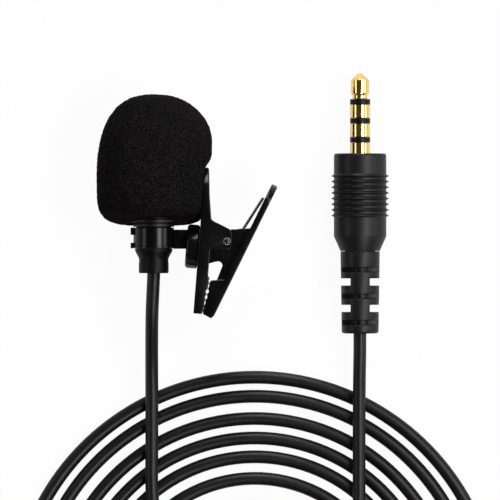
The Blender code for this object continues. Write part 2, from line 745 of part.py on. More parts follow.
def spring_line():
    """The spring's wire in world millimetres: plate leg, curls round the pin, lever leg."""
    plate = clip_axes(PLATE_TILT).to_3x3()
    lever = clip_axes(LEVER_TILT).to_3x3()
    pin = Vector((PIN_X, PIN_Y, MIC_Z))
    clear = SPRING_WIRE / 2 + SEAT
    plate_tip = plate @ Vector((PLATE_ROOT + clear + 0.1 - PIN_TO_PLATE, EAR_TOP - 0.3, 0.0))
    lever_tip = lever @ Vector((PIN_TO_LEVER - LEVER_THICK - clear, SPRING_LEG, 0.0))
    enter = math.atan2(plate_tip.y, plate_tip.x) + math.acos(SPRING_RADIUS / plate_tip.length)
    leave = math.atan2(lever_tip.y, lever_tip.x) - math.acos(SPRING_RADIUS / lever_tip.length)
    sweep = (leave - enter) % (2 * math.pi) + SPRING_TURNS * 2 * math.pi
    height = SPRING_PITCH * sweep / (2 * math.pi)
    count = round(SPRING_STEPS * sweep / (2 * math.pi))
    curls = []
    for k in range(count + 1):
        angle = enter + sweep * k / count
        rise = height * (k / count - 0.5)
        curls.append(Vector((math.cos(angle), math.sin(angle), 0)) * SPRING_RADIUS + Vector((0, 0, rise)))
    start = plate_tip + Vector((0, 0, -height / 2))
    end = lever_tip + Vector((0, 0, height / 2))
    return [pin + p for p in [start, *curls, end]]


def clip_spring(swivel_axis):
    line = spring_line()
    print("least gap between the spring's curls: %.2f mm" % least_gap(line[1:-1], SPRING_WIRE, SPRING_STEPS // 2))
    return keep(tube("clip_spring", line, SPRING_WIRE / 2, 1), steel, swivel_axis)


# Plug

def handle_profile():
    points = [(HANDLE_RADIUS - HANDLE_ROUND, HANDLE_TOP), (HANDLE_RADIUS, HANDLE_TOP - HANDLE_ROUND)]
    for k in range(RIBS):
        middle = RIB_TOP - k * RIB_PITCH
        points += [(HANDLE_RADIUS, middle + RIB_HALF), (RIB_RADIUS, middle), (HANDLE_RADIUS, middle - RIB_HALF)]
    rear = RELIEF_SPIGOT + NEST
    deep = HANDLE_BOTTOM + RELIEF_SPIGOT_LENGTH + SEAT
    front = CONTACT_RADIUS + NEST
    seat = HANDLE_TOP - SLEEVE_SEAT - SEAT
    points += [
        (HANDLE_RADIUS, CONE_TOP), (RELIEF_TOP_RADIUS, HANDLE_BOTTOM), (rear, HANDLE_BOTTOM),
        (rear, deep), (SOLDER_CHAMBER, deep), (SOLDER_CHAMBER, seat), (front, seat), (front, HANDLE_TOP),
    ]
    return points


def plug_handle():
    handle = turned("plug_handle", handle_profile(), closed=True)
    return keep(on_axis(handle, PLUG_X, PLUG_Z), satin_black)


def plug_relief():
    top = HANDLE_BOTTOM - SEAT
    spigot = HANDLE_BOTTOM + RELIEF_SPIGOT_LENGTH
    profile = [
        (RELIEF_SPIGOT, spigot), (RELIEF_SPIGOT, top), (RELIEF_TOP_RADIUS, top),
        (RELIEF_RADIUS, RELIEF_BOTTOM + HANDLE_ROUND), (RELIEF_RADIUS - HANDLE_ROUND, RELIEF_BOTTOM),
        (RELIEF_BORE, RELIEF_BOTTOM), (RELIEF_BORE, spigot),
    ]
    relief = on_axis(turned("plug_relief", profile, closed=True), PLUG_X, PLUG_Z)
    out = 2 * RELIEF_TOP_RADIUS
    for k in range(3):
        middle = SLOT_TOP - k * SLOT_PITCH
        for name, near, far in (("front", WEB_HALF, out), ("back", -out, -WEB_HALF)):
            low = (PLUG_X - out, middle - SLOT_HEIGHT / 2, PLUG_Z + near)
            high = (PLUG_X + out, middle + SLOT_HEIGHT / 2, PLUG_Z + far)
            combine(relief, box("slot_%s_%d" % (name, k + 1), low, high), "DIFFERENCE")
    for k in range(2):
        middle = NOTCH_TOP - k * SLOT_PITCH
        for name, near, far in (("right", CORE_RADIUS, out), ("left", -out, -CORE_RADIUS)):
            low = (PLUG_X + near, middle - NOTCH_HEIGHT / 2, PLUG_Z - out)
            high = (PLUG_X + far, middle + NOTCH_HEIGHT / 2, PLUG_Z + out)
            combine(relief, box("notch_%s_%d" % (name, k + 1), low, high), "DIFFERENCE")
    core = [
        (CORE_RADIUS, SLOT_TOP + 1), (CORE_RADIUS, SLOT_TOP - 2 * SLOT_PITCH - 1),
        (RELIEF_BORE, SLOT_TOP - 2 * SLOT_PITCH - 1), (RELIEF_BORE, SLOT_TOP + 1),
    ]
    round_core = on_axis(turned("relief_core", core, closed=True), PLUG_X, PLUG_Z)
    combine(relief, round_core, "UNION")
    return keep(relief, satin_black)


def contact(name, top, length, radius, made_of):
    """One ring of the plug, bored for the rod."""
    bore = ROD_RADIUS + NEST
    bottom = top - length + SEAT
    profile = [(radius, top), (radius, bottom), (bore, bottom), (bore, top)]
    return keep(on_axis(turned(name, profile, closed=True), PLUG_X, PLUG_Z), made_of)


def plug_tip(bottom):
    top = bottom + TIP_LENGTH
    bore = ROD_RADIUS + NEST
    low = bottom + SEAT
    profile = [
        (0.0, top), (0.3, top - 0.03), (0.62, top - 0.22), (TIP_RADIUS - 0.12, top - 1.0),
        (TIP_RADIUS, top - 1.2), (TIP_RADIUS, bottom + 0.95), (TIP_NECK, bottom + 0.4), (TIP_NECK, low),
        (bore, low), (bore, bottom + 1.5), (0.0, bottom + 1.5),
    ]
    return keep(on_axis(turned("plug_tip", profile), PLUG_X, PLUG_Z), gilt)


def plug_contacts():
    """Sleeve, rings and the black insulators between them, from the handle outwards, then the tip."""
    face = HANDLE_TOP + SLEEVE_LENGTH
    contact("plug_sleeve", face, SLEEVE_LENGTH + SLEEVE_SEAT, CONTACT_RADIUS, gilt)
    stack = (
        ("plug_insulator_3", INSULATOR_LENGTH, INSULATOR_RADIUS, plug_black),
        ("plug_ring_2", RING_LENGTH, CONTACT_RADIUS, gilt),
        ("plug_insulator_2", INSULATOR_LENGTH, INSULATOR_RADIUS, plug_black),
        ("plug_ring_1", RING_LENGTH, CONTACT_RADIUS, gilt),
        ("plug_insulator_1", INSULATOR_LENGTH, INSULATOR_RADIUS, plug_black),
    )
    for name, length, radius, made_of in stack:
        face += length
        contact(name, face, length, radius, made_of)
    plug_tip(face)
    top = face + 1.5 - SEAT
    low = HANDLE_TOP - ROD_TAIL
    profile = [(0.0, top), (ROD_RADIUS, top), (ROD_RADIUS, low), (0.0, low)]
    keep(on_axis(turned("plug_core", profile), PLUG_X, PLUG_Z), plug_black)


# Cord

def smooth_step(share):
    return share * share * (3 - 2 * share)


def coil_point(angle, radius):
    """A point of the coil: round above its middle, and shallower by COIL_FLAT below it."""
    reach = radius - (COIL_FLAT if math.sin(angle) < 0 else 0.0)
    return Vector((COIL_X + radius * math.cos(angle), COIL_Y + reach * math.sin(angle), COIL_Z))


def coil_line(steps):
    """Centreline of the coil: it starts inside, keeps each radius over the top and grows round the bottom."""
    radii = (COIL_START_RADIUS, *ARC_RADII)
    half = steps // 2
    points = []
    for turn in range(len(ARC_RADII)):
        inner, outer = radii[turn], radii[turn + 1]
        for k in range(half):
            radius = inner + (outer - inner) * smooth_step(k / half)
            points.append(coil_point(math.pi * (1 + k / half), radius))
        points += [coil_point(math.pi * k / half, outer) for k in range(half)]
    tail = math.radians(COIL_END_ANGLE - 180)
    count = round(half * tail / math.pi)
    for k in range(count + 1):
        radius = ARC_RADII[-1] + COIL_END_GROWTH * smooth_step(k / count)
        points.append(coil_point(math.pi + tail * k / count, radius))
    start = points[0] + Vector((0.0, CORD_DIAMETER, 0.0))
    end = points[-1] + (points[-1] - points[-2]).normalized() * CORD_DIAMETER
    return [start, *points, end]


def cord():
    coil = coil_line(LOOP_STEPS)
    print("least gap between the coil's turns: %.2f mm" % least_gap(coil, CORD_DIAMETER, LOOP_STEPS // 2))
    keep(tube("cord_coil", coil, CORD_DIAMETER / 2, 1), cord_black)
    mic_lead = smooth_route(MIC_LEAD_ROUTE, LEAD_STEP)
    plug_lead = smooth_route(PLUG_LEAD_ROUTE, LEAD_STEP)
    keep(tube("mic_lead", mic_lead, CORD_DIAMETER / 2), cord_black)
    keep(tube("plug_lead", plug_lead, CORD_DIAMETER / 2), cord_black)
    whole = length_of(mic_lead) + length_of(coil_line(240)) + length_of(plug_lead) + 4 * CORD_SEAT
    print("cord length: %.0f mm of %.0f" % (whole, CORD_LENGTH))


clear_scene()
parts = new_collection("Lavalier microphone")
helpers = new_collection("Cutters", hidden=True)

black_foam = material("Black foam", (0.022, 0.021, 0.022), 0.95)
satin_black = material("Satin black plastic", (0.02, 0.02, 0.021), 0.42)
gloss_black = material("Gloss black plastic", (0.016, 0.015, 0.017), 0.2)
plug_black = material("Black insulator", (0.018, 0.016, 0.016), 0.35)
rubber = material("Black rubber", (0.02, 0.02, 0.02), 0.6)
cord_black = material("Black cord jacket", (0.018, 0.018, 0.019), 0.38)
gilt = material("Gilt brass", (0.92, 0.66, 0.24), 0.16, 1.0)
steel = material("Bright steel", (0.62, 0.62, 0.64), 0.25, 1.0)
aluminium = material("Aluminium can", (0.8, 0.8, 0.82), 0.35, 1.0)
bright_metal = material("Perforated cap", (0.45, 0.45, 0.47), 0.4, 1.0)
felt = material("Dust felt", (0.03, 0.03, 0.03), 0.95)
board_green = material("Board", (0.03, 0.16, 0.07), 0.5)
red_wire = material("Red wire", (0.45, 0.03, 0.03), 0.45)
bare_wire = material("Copper wire", (0.72, 0.4, 0.25), 0.35, 1.0)

holder_turn = joint_empty("holder_turn_axis", MIC_X, (RING_TOP + RING_BOTTOM) / 2, MIC_Z)
foam_slide = joint_empty("windscreen_slide_axis", MIC_X, FOAM_BOTTOM, MIC_Z, holder_turn)
swivel_at = swivel_axes().translation / MM
clip_swivel = joint_empty("clip_swivel_axis", swivel_at.x, swivel_at.y, swivel_at.z, holder_turn)
lever_hinge = joint_empty("lever_hinge_axis", PIN_X, PIN_Y, MIC_Z, clip_swivel)

foam_windscreen(foam_slide)
housing()
head_grille()
dust_felt()
electret_capsule()
capsule_gasket()
capsule_board()
inner_wire("signal_wire", 1, red_wire)
inner_wire("ground_wire", -1, bare_wire)
strain_boot()
holder_ring(holder_turn)
swivel_rivet(holder_turn)
clip_plate(clip_swivel)
hinge_pin(clip_swivel)
clip_spring(clip_swivel)
clip_lever(lever_hinge)
plug_handle()
plug_relief()
plug_contacts()
cord()

for part in parts.objects:
    if part.type == "MESH":
        part.data.shade_smooth()
        part.data.set_sharp_from_angle(angle=math.radians(35))
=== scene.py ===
import json
import math

import bpy
from mathutils import Matrix, Vector


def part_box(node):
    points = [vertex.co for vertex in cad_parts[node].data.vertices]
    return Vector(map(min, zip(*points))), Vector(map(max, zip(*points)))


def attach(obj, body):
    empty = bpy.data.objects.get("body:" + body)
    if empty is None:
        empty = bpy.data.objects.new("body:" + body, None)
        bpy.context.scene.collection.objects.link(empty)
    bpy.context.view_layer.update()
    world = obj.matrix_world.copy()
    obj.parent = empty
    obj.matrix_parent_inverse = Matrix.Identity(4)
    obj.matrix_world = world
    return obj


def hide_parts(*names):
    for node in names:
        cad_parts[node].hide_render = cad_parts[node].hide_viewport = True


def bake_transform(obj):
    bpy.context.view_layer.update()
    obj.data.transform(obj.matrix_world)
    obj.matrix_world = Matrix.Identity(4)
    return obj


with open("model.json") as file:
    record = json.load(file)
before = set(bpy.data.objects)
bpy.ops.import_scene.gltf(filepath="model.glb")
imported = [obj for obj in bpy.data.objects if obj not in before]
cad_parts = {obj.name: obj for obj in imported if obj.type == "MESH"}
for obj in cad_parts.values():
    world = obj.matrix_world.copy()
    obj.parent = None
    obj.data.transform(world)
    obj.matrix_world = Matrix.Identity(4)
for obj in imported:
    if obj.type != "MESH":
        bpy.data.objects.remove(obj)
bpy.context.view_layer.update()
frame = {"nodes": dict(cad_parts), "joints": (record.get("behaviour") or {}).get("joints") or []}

# Everything is laid out in millimetres and turned into metres here
mm = 0.001
nodes = frame["nodes"]
joints = {joint["name"]: joint for joint in frame["joints"]}


def middleOf(node):
    low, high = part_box(node)
    return [(a + b) / 2 / mm for a, b in zip(low, high)]


micX, _, micZ = middleOf("housing")
plugX, _, plugZ = middleOf("plug_handle")
pin = Vector(joints["lever_hinge"]["pos_m"]) / mm
swivel = Vector(joints["clip_swivel"]["pos_m"]) / mm
swivelWay = Vector(joints["clip_swivel"]["axis"]).normalized()
plateTilt = math.asin(-swivelWay.y)

photo = {
    "pixelsPerMm": 5.8,
    "pixels": 500,
    "centre": (10.89, -7.5),
    "height": 7.5,        # what lies this high is seen at the photograph's scale
    "distance": 1500,
    "sensor": 36,
    "nearest": 10,
    "farthest": 20000,
}


def deselectAll():
    bpy.ops.object.select_all(action="DESELECT")


def only(piece):
    deselectAll()
    piece.select_set(True)
    bpy.context.view_layer.objects.active = piece


# Camera, floor and light

def addCamera(spec):
    x, y = spec["centre"]
    height = spec["height"] + spec["distance"]
    bpy.ops.object.camera_add(location=(x * mm, y * mm, height * mm), rotation=(0, 0, 0))
    camera = bpy.context.object
    camera.name = "photoCamera"
    camera.data.sensor_width = spec["sensor"]
    camera.data.lens = spec["sensor"] * spec["distance"] * spec["pixelsPerMm"] / spec["pixels"]
    camera.data.clip_start = spec["nearest"] * mm
    camera.data.clip_end = spec["farthest"] * mm
    bpy.context.scene.camera = camera


addCamera(photo)
print("camera placed")


# Shader maths: a Field wraps a socket, and what is done with it adds Math nodes

class Field:
    def __init__(self, finish, socket):
        self.finish = finish
        self.socket = socket

    def maths(self, operation, *values, clamp=False):
        settings = {"operation": operation, "use_clamp": clamp}
        made = self.finish.node("ShaderNodeMath", settings, dict(enumerate(values)))
        return self.finish.field(made.outputs[0])

    def __add__(self, other):
        return self.maths("ADD", self, other)

    def __sub__(self, other):
        return self.maths("SUBTRACT", self, other)

    def __rsub__(self, other):
        return self.maths("SUBTRACT", other, self)

    def __mul__(self, other):
        return self.maths("MULTIPLY", self, other)

    def larger(self, other):
        return self.maths("MAXIMUM", self, other)

    def clamped(self):
        return self.maths("ADD", self, 0, clamp=True)


class Finish:
    def __init__(self, name, colour, roughness, **fixed):
        self.material = bpy.data.materials.new(name)
        self.material.use_nodes = True
        self.tree = self.material.node_tree
        self.shader = self.tree.nodes["Principled BSDF"]
        self.shader.inputs["Base Color"].default_value = (*colour, 1)
        self.shader.inputs["Roughness"].default_value = roughness
        for socket, value in fixed.items():
            self.shader.inputs[socket.replace("_", " ")].default_value = value
        self.place = self.field(self.node("ShaderNodeTexCoord").outputs["Object"])

    def field(self, socket):
        return Field(self, socket)

    def node(self, kind, settings=None, inputs=None):
        made = self.tree.nodes.new(kind)
        for name, value in (settings or {}).items():
            if name == "stops":
                self.setStops(made.color_ramp, value)
            else:
                setattr(made, name, value)
        for name, value in (inputs or {}).items():
            if isinstance(value, Field):
                self.tree.links.new(value.socket, made.inputs[name])
            else:
                made.inputs[name].default_value = value
        return made

    def setStops(self, ramp, stops):
        while len(ramp.elements) < len(stops):
            ramp.elements.new(0.5)
        for element, (position, colour) in zip(ramp.elements, stops):
            element.position = position
            element.color = (*colour, 1)

    def noise(self, size, detail, where=None):
        inputs = {"Vector": where or self.place, "Scale": 1 / (size * mm), "Detail": detail}
        return self.field(self.node("ShaderNodeTexNoise", None, inputs).outputs["Fac"])

    def cellWalls(self, size):
        inputs = {"Vector": self.place, "Scale": 1 / (size * mm)}
        made = self.node("ShaderNodeTexVoronoi", {"feature": "DISTANCE_TO_EDGE"}, inputs)
        return self.field(made.outputs["Distance"])

    def stretched(self, scale):
        made = self.node("ShaderNodeMapping", None, {"Vector": self.place, "Scale": scale})
        return self.field(made.outputs[0])

    def ramp(self, amount, stops):
        made = self.node("ShaderNodeValToRGB", {"stops": stops}, {"Fac": amount})
        return self.field(made.outputs["Color"])

    def between(self, amount, low, high):
        made = self.node("ShaderNodeMapRange", None, {"Value": amount, "To Min": low, "To Max": high})
        return self.field(made.outputs["Result"])

    def blendColours(self, amount, first, second):
        made = self.node("ShaderNodeMix", {"data_type": "RGBA"}, {0: amount, 6: first, 7: second})
        return self.field(made.outputs[2])

    def drive(self, socket, amount):
        self.tree.links.new(amount.socket, self.shader.inputs[socket])

    def bump(self, height, depth, strength):
        inputs = {"Height": height, "Distance": depth * mm, "Strength": strength}
        made = self.node("ShaderNodeBump", None, inputs)
        self.tree.links.new(made.outputs[0], self.shader.inputs["Normal"])


def tinted(colour, share):
    return tuple(c * share for c in colour)


plasticSpec = {
    "broadSize": 3.2,
    "broadShare": 0.6,    # of what makes the roughness uneven, the rest is fine grain
    "darkest": 0.72,
    "lightest": 1.35,
    "smoother": 0.06,
    "rougher": 0.08,
    "bump": 0.6,
}


def satinPlastic(name, colour, roughness, grain, depth, gloss=0.35):
    spec = plasticSpec
    finish = Finish(name, colour, roughness, Specular_IOR_Level=gloss)
    fine = finish.noise(grain, 3)
    broad = finish.noise(spec["broadSize"], 2)
    stops = [(0.3, tinted(colour, spec["darkest"])), (0.7, tinted(colour, spec["lightest"]))]
    finish.drive("Base Color", finish.ramp(broad, stops))
    uneven = broad * spec["broadShare"] + fine * (1 - spec["broadShare"])
    smoothest, roughest = roughness - spec["smoother"], roughness + spec["rougher"]
    finish.drive("Roughness", finish.between(uneven, smoothest, roughest))
    finish.bump(fine, depth, spec["bump"])
    return finish.material


foamLook = {
    "poreSize": 0.4,
    "strutSharpness": 3.2,
    "strutShare": 0.55,
    "grainSize": 0.2,
    "grainShare": 0.9,
    "darkened": 0.22,
    "patchSize": 9,       # patches of a darker and a warmer black
    "stops": (0.25, 0.5, 0.75),
    "dark": ((0.0001, 0.0001, 0.0001), (0.0006, 0.0006, 0.0006), (0.0098, 0.0096, 0.0092)),
    "warm": ((0.0001, 0.0001, 0.0001), (0.0008, 0.0006, 0.0006), (0.0125, 0.0094, 0.0102)),
    "bumpDepth": 0.1,
    "bump": 0.8,
}


def openFoam(name):
    look = foamLook
    finish = Finish(name, (0.005, 0.0045, 0.0045), 0.95, Specular_IOR_Level=0.03)
    walls = finish.cellWalls(look["poreSize"])     # thin struts round pores, the pores painted darker as shade in the holes
    grain = finish.noise(look["grainSize"], 3)
    struts = (1 - walls * look["strutSharpness"]).clamped()
    # painted shade: the pores are darker than the struts, with random grain added on top
    poreShadeAndGrain = (struts * look["strutShare"] + grain * look["grainShare"] - look["darkened"]).clamped()
    dark = finish.ramp(poreShadeAndGrain, list(zip(look["stops"], look["dark"])))
    warm = finish.ramp(poreShadeAndGrain, list(zip(look["stops"], look["warm"])))
    patches = finish.ramp(finish.noise(look["patchSize"], 1), [(0.4, (0, 0, 0)), (0.6, (1, 1, 1))])
    finish.drive("Base Color", finish.blendColours(patches, dark, warm))
    finish.bump(poreShadeAndGrain, look["bumpDepth"], look["bump"])
    return finish.material


metalSpec = {
    "grain": 0.08,
    "depth": 0.002,
    "darkest": 0.86,
    "smoothest": 0.75,
    "roughest": 1.3,
    "bump": 0.5,
}


def polishedMetal(name, colour, roughness, stretch=(1, 1, 1)):
    spec = metalSpec
    finish = Finish(name, colour, roughness, Metallic=1.0)
    brushed = finish.noise(spec["grain"], 3, finish.stretched(stretch))
    stops = [(0.3, tinted(colour, spec["darkest"])), (0.7, colour)]
    finish.drive("Base Color", finish.ramp(brushed, stops))
    smoothest, roughest = roughness * spec["smoothest"], roughness * spec["roughest"]
    finish.drive("Roughness", finish.between(brushed, smoothest, roughest))
    finish.bump(brushed, spec["depth"], spec["bump"])
    return finish.material


finishes = {
    "foam": openFoam("Open-cell foam"),
    "gloss": satinPlastic("Gloss black plastic", (0.0024, 0.002, 0.0022), 0.2, 0.6, 0.002, 0.25),
    "satin": satinPlastic("Satin black plastic", (0.0028, 0.0025, 0.0026), 0.42, 0.2, 0.002, 0.25),
    "boot": satinPlastic("Black rubber", (0.0014, 0.0011, 0.0012), 0.42, 0.2, 0.002, 0.12),
    "cord": satinPlastic("Cord jacket", (0.0026, 0.0023, 0.0025), 0.38, 0.3, 0.002, 0.25),
    "insulator": satinPlastic("Black insulator", (0.002, 0.0014, 0.0016), 0.35, 0.3, 0.001, 0.15),
    "gilt": polishedMetal("Gilt contact", (1.0, 0.68, 0.24), 0.13, (1, 9, 1)),
    "steel": polishedMetal("Bright steel", (0.66, 0.66, 0.68), 0.2, (1, 1, 6)),
    "darkSteel": polishedMetal("Blackened steel", (0.05, 0.05, 0.052), 0.34, (1, 1, 6)),
    "can": polishedMetal("Drawn aluminium", (0.8, 0.8, 0.82), 0.32, (1, 6, 1)),
    "cap": polishedMetal("Perforated cap", (0.5, 0.5, 0.52), 0.36),
    "felt": satinPlastic("Dust felt", (0.016, 0.016, 0.016), 0.92, 0.08, 0.05),
    "board": satinPlastic("Green board", (0.02, 0.13, 0.06), 0.45, 0.2, 0.01),
    "redWire": satinPlastic("Red insulation", (0.4, 0.02, 0.02), 0.4, 0.1, 0.002),
    "copper": polishedMetal("Copper strands", (0.75, 0.4, 0.24), 0.3, (4, 1, 4)),
}
print("finishes made")


floorSpec = {
    "size": 6000,
    "below": 0.2,
    "colour": 0.6,
    "roughness": 0.9,
    "cameraGlow": 0.95,   # how much of what each kind of ray sees is plain white
    "glossyGlow": 0.3,
}


def addFloor():
    spec = floorSpec
    bpy.ops.mesh.primitive_plane_add(size=spec["size"] * mm, location=(0, 0, -spec["below"] * mm))
    floor = bpy.context.object
    floor.name = "floor"
    finish = Finish("Pale floor", [spec["colour"]] * 3, spec["roughness"])
    glow = finish.node("ShaderNodeEmission", None, {"Color": (1, 1, 1, 1), "Strength": 1.0})
    paths = finish.node("ShaderNodeLightPath")
    direct = finish.field(paths.outputs["Is Camera Ray"])
    through = finish.field(paths.outputs["Is Transmission Ray"])
    glossy = finish.field(paths.outputs["Is Glossy Ray"])
    seen = direct.larger(through) * spec["cameraGlow"]
    share = seen.larger(glossy * spec["glossyGlow"])
    mixed = finish.node("ShaderNodeMixShader", None, {0: share})
    finish.tree.links.new(finish.shader.outputs[0], mixed.inputs[1])
    finish.tree.links.new(glow.outputs[0], mixed.inputs[2])
    finish.tree.links.new(mixed.outputs[0], finish.tree.nodes["Material Output"].inputs[0])
    floor.data.materials.append(finish.material)


studio = {
    "horizon": 0.5,
    "overhead": 0.05,
    "bandLow": 0.0,
    "bandHigh": 0.42,
    "lampTarget": (10, -10, 5),
}


def addWorld():
    # light round the horizon and dark overhead, so that what faces up stays black
    world = bpy.data.worlds.new("studio")
    bpy.context.scene.world = world
    world.use_nodes = True
    tree = world.node_tree
    towards = tree.nodes.new("ShaderNodeTexCoord")
    split = tree.nodes.new("ShaderNodeSeparateXYZ")
    fade = tree.nodes.new("ShaderNodeMapRange")
    fade.interpolation_type = "SMOOTHSTEP"
    for place, side in enumerate(("bandLow", "bandHigh", "horizon", "overhead"), 1):
        fade.inputs[place].default_value = studio[side]
    tree.links.new(towards.outputs["Generated"], split.inputs[0])
    tree.links.new(split.outputs["Z"], fade.inputs[0])
    tree.links.new(fade.outputs[0], tree.nodes["Background"].inputs["Strength"])
    tree.nodes["Background"].inputs["Color"].default_value = (1, 1, 1, 1)


lamps = {
    "rightStrip": {"place": (260, -60, 435), "size": (800, 170), "power": 3.6},
    "farRightSoftbox": {"place": (470, 10, 205), "size": (300, 200), "power": 0.5},
    "leftStrip": {"place": (-405, 0, 285), "size": (500, 140), "power": 0.5},
    "topSoftbox": {"place": (10, 400, 290), "size": (220, 220), "power": 1.15},
    "backSoftbox": {"place": (10, 455, 140), "size": (200, 200), "power": 0.9},
}


def addLamps():
    target = Vector(studio["lampTarget"]) * mm
    for name, lamp in lamps.items():
        place = Vector(lamp["place"]) * mm
        turn = (target - place).to_track_quat("-Z", "Y").to_euler()
        bpy.ops.object.light_add(type="AREA", location=place, rotation=turn)
        light = bpy.context.object
        light.name = name
        light.data.shape = "RECTANGLE"
        light.data.size, light.data.size_y = [side * mm for side in lamp["size"]]
        light.data.energy = lamp["power"]


addFloor()
addWorld()
addLamps()
bpy.context.scene.view_settings.view_transform = "Standard"
print("floor and light set")


# Ways of making a piece

def dress(piece, finish):
    only(piece)
    bpy.ops.object.transform_apply(location=True, rotation=True, scale=True)
    piece.data.materials.clear()
    piece.data.materials.append(finishes[finish])


def settle(piece, finish, body, slot, *replaced):
    dress(piece, finish)
    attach(piece, body)
    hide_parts(*replaced)


def smoothed(piece, degrees=32):
    only(piece)
    bpy.ops.object.shade_smooth_by_angle(angle=math.radians(degrees))


def applyModifiers(piece):
    only(piece)
    for modifier in list(piece.modifiers):
        bpy.ops.object.modifier_apply(modifier=modifier.name)


def bevelled(piece, width, segments=3, degrees=25):
    bevel = piece.modifiers.new("edge", "BEVEL")
    bevel.width = width * mm
    bevel.segments = segments
    bevel.limit_method = "ANGLE"
    bevel.angle_limit = math.radians(degrees)
    bevel.use_clamp_overlap = False
    applyModifiers(piece)


def lathe(name, rings, place, steps=96, hollow=False, edge=0.0):
    # rings are (radius, height), walked down the outside; a hollow piece walks back up its bore
    deselectAll()
    radius, height = rings[0]
    fill = "NOTHING" if hollow else "NGON"
    bpy.ops.mesh.primitive_circle_add(vertices=steps, radius=radius * mm, fill_type=fill)
    piece = bpy.context.object
    piece.name = name
    bpy.ops.object.mode_set(mode="EDIT")
    bpy.ops.mesh.select_all(action="SELECT")
    bpy.ops.transform.translate(value=(0, 0, height * mm))
    for nextRadius, nextHeight in rings[1:]:
        rise = (0, 0, (nextHeight - height) * mm)
        bpy.ops.mesh.extrude_region_move(TRANSFORM_OT_translate={"value": rise})
        share = nextRadius / radius
        bpy.ops.transform.resize(value=(share, share, 1), center_override=(0, 0, nextHeight * mm))
        radius, height = nextRadius, nextHeight
    if hollow:
        bpy.ops.mesh.select_all(action="SELECT")
        bpy.ops.mesh.region_to_loop()
        bpy.ops.mesh.bridge_edge_loops()
    bpy.ops.mesh.select_all(action="SELECT")
    bpy.ops.mesh.normals_make_consistent(inside=False)
    bpy.ops.object.mode_set(mode="OBJECT")
    if edge:
        bevelled(piece, edge, 3, 28)
    piece.matrix_world = place
    smoothed(piece)
    return piece


def alongY(x, z):
    return Matrix.Translation(Vector((x, 0, z)) * mm) @ Matrix.Rotation(-math.pi / 2, 4, "X")


def cutOut(name, outline, low, high, place):
    # a flat outline, thick from low to high
    deselectAll()
    bpy.ops.mesh.primitive_circle_add(vertices=len(outline), radius=mm, fill_type="NGON")
    piece = bpy.context.object
    piece.name = name
    for vertex, (x, y) in zip(piece.data.vertices, outline):
        vertex.co = Vector((x, y, low)) * mm
    bpy.ops.object.mode_set(mode="EDIT")
    bpy.ops.mesh.select_all(action="SELECT")
    bpy.ops.mesh.extrude_region_move(TRANSFORM_OT_translate={"value": (0, 0, (high - low) * mm)})
    bpy.ops.mesh.select_all(action="SELECT")
    bpy.ops.mesh.normals_make_consistent(inside=False)
    bpy.ops.object.mode_set(mode="OBJECT")
    piece.matrix_world = place
    smoothed(piece)
    return piece


def joined(name, *pieces):
    for piece in pieces:
        only(piece)
        bpy.ops.object.transform_apply(location=True, rotation=True, scale=True)
    deselectAll()
    for piece in pieces:
        piece.select_set(True)
    bpy.context.view_layer.objects.active = pieces[0]
    bpy.ops.object.join()
    pieces[0].name = name
    return pieces[0]


def cleaned(piece, nearest):
    # welds points closer than nearest, and takes out the edges that lie in a flat face
    only(piece)
    bpy.ops.object.mode_set(mode="EDIT")
    bpy.ops.mesh.select_all(action="SELECT")
    bpy.ops.mesh.remove_doubles(threshold=nearest * mm)
    bpy.ops.mesh.dissolve_limited(angle_limit=math.radians(1))
    bpy.ops.object.mode_set(mode="OBJECT")


def wire(name, route, diameter, roundness):
    deselectAll()
    bpy.ops.curve.primitive_nurbs_path_add()
    piece = bpy.context.object
    piece.name = name
    curve = piece.data
    curve.splines.clear()
    spline = curve.splines.new("POLY")
    spline.points.add(len(route) - 1)
    for point, place in zip(spline.points, route):
        point.co = (*(place * mm), 1)
    spline.use_smooth = True
    curve.dimensions = "3D"
    curve.bevel_depth = diameter / 2 * mm
    curve.bevel_resolution = roundness
    curve.use_fill_caps = True
    return piece


# Cord: one piece from the boot, round the coil and into the plug

cordSpec = {
    "diameter": 2.25,
    "length": 1500,
    "step": 1.5,
    "bootMouth": -11.21,
    "reliefMouth": -21.91,
    "inside": 1.0,        # how far it goes into the boot and into the plug's relief
    "over": 3.47,         # where the leads lie across the coil
    "floor": 1.13,
    "roundness": 6,
}
coilSpec = {
    "centre": (11.72, -71.16),
    "radii": (15.5, 19.2, 24.12, 27.86, 31.11, 34.49, 38.33, 41.63),
    "flat": 4.8,          # how much shallower the lower half of each turn is
    "endGrowth": 2.87,
    "endAngle": 245,
    "pointsPerTurn": 120,
    "every": 4,           # one in this many of those points is used
}


def coilRoute(spec, level):
    centreX, centreY = spec["centre"]
    half = spec["pointsPerTurn"] // 2

    def at(angle, radius):
        reach = radius - (spec["flat"] if math.sin(angle) < 0 else 0)
        return Vector((centreX + radius * math.cos(angle), centreY + reach * math.sin(angle), level))

    def eased(share):
        return share * share * (3 - 2 * share)

    route = []
    for inner, outer in zip(spec["radii"], spec["radii"][1:]):
        for k in range(half):
            route.append(at(math.pi * (1 + k / half), inner + (outer - inner) * eased(k / half)))
        route += [at(math.pi * k / half, outer) for k in range(half)]
    tail = math.radians(spec["endAngle"] - 180)
    count = round(half * tail / math.pi)
    for k in range(count + 1):
        radius = spec["radii"][-1] + spec["endGrowth"] * eased(k / count)
        route.append(at(math.pi + tail * k / count, radius))
    return route


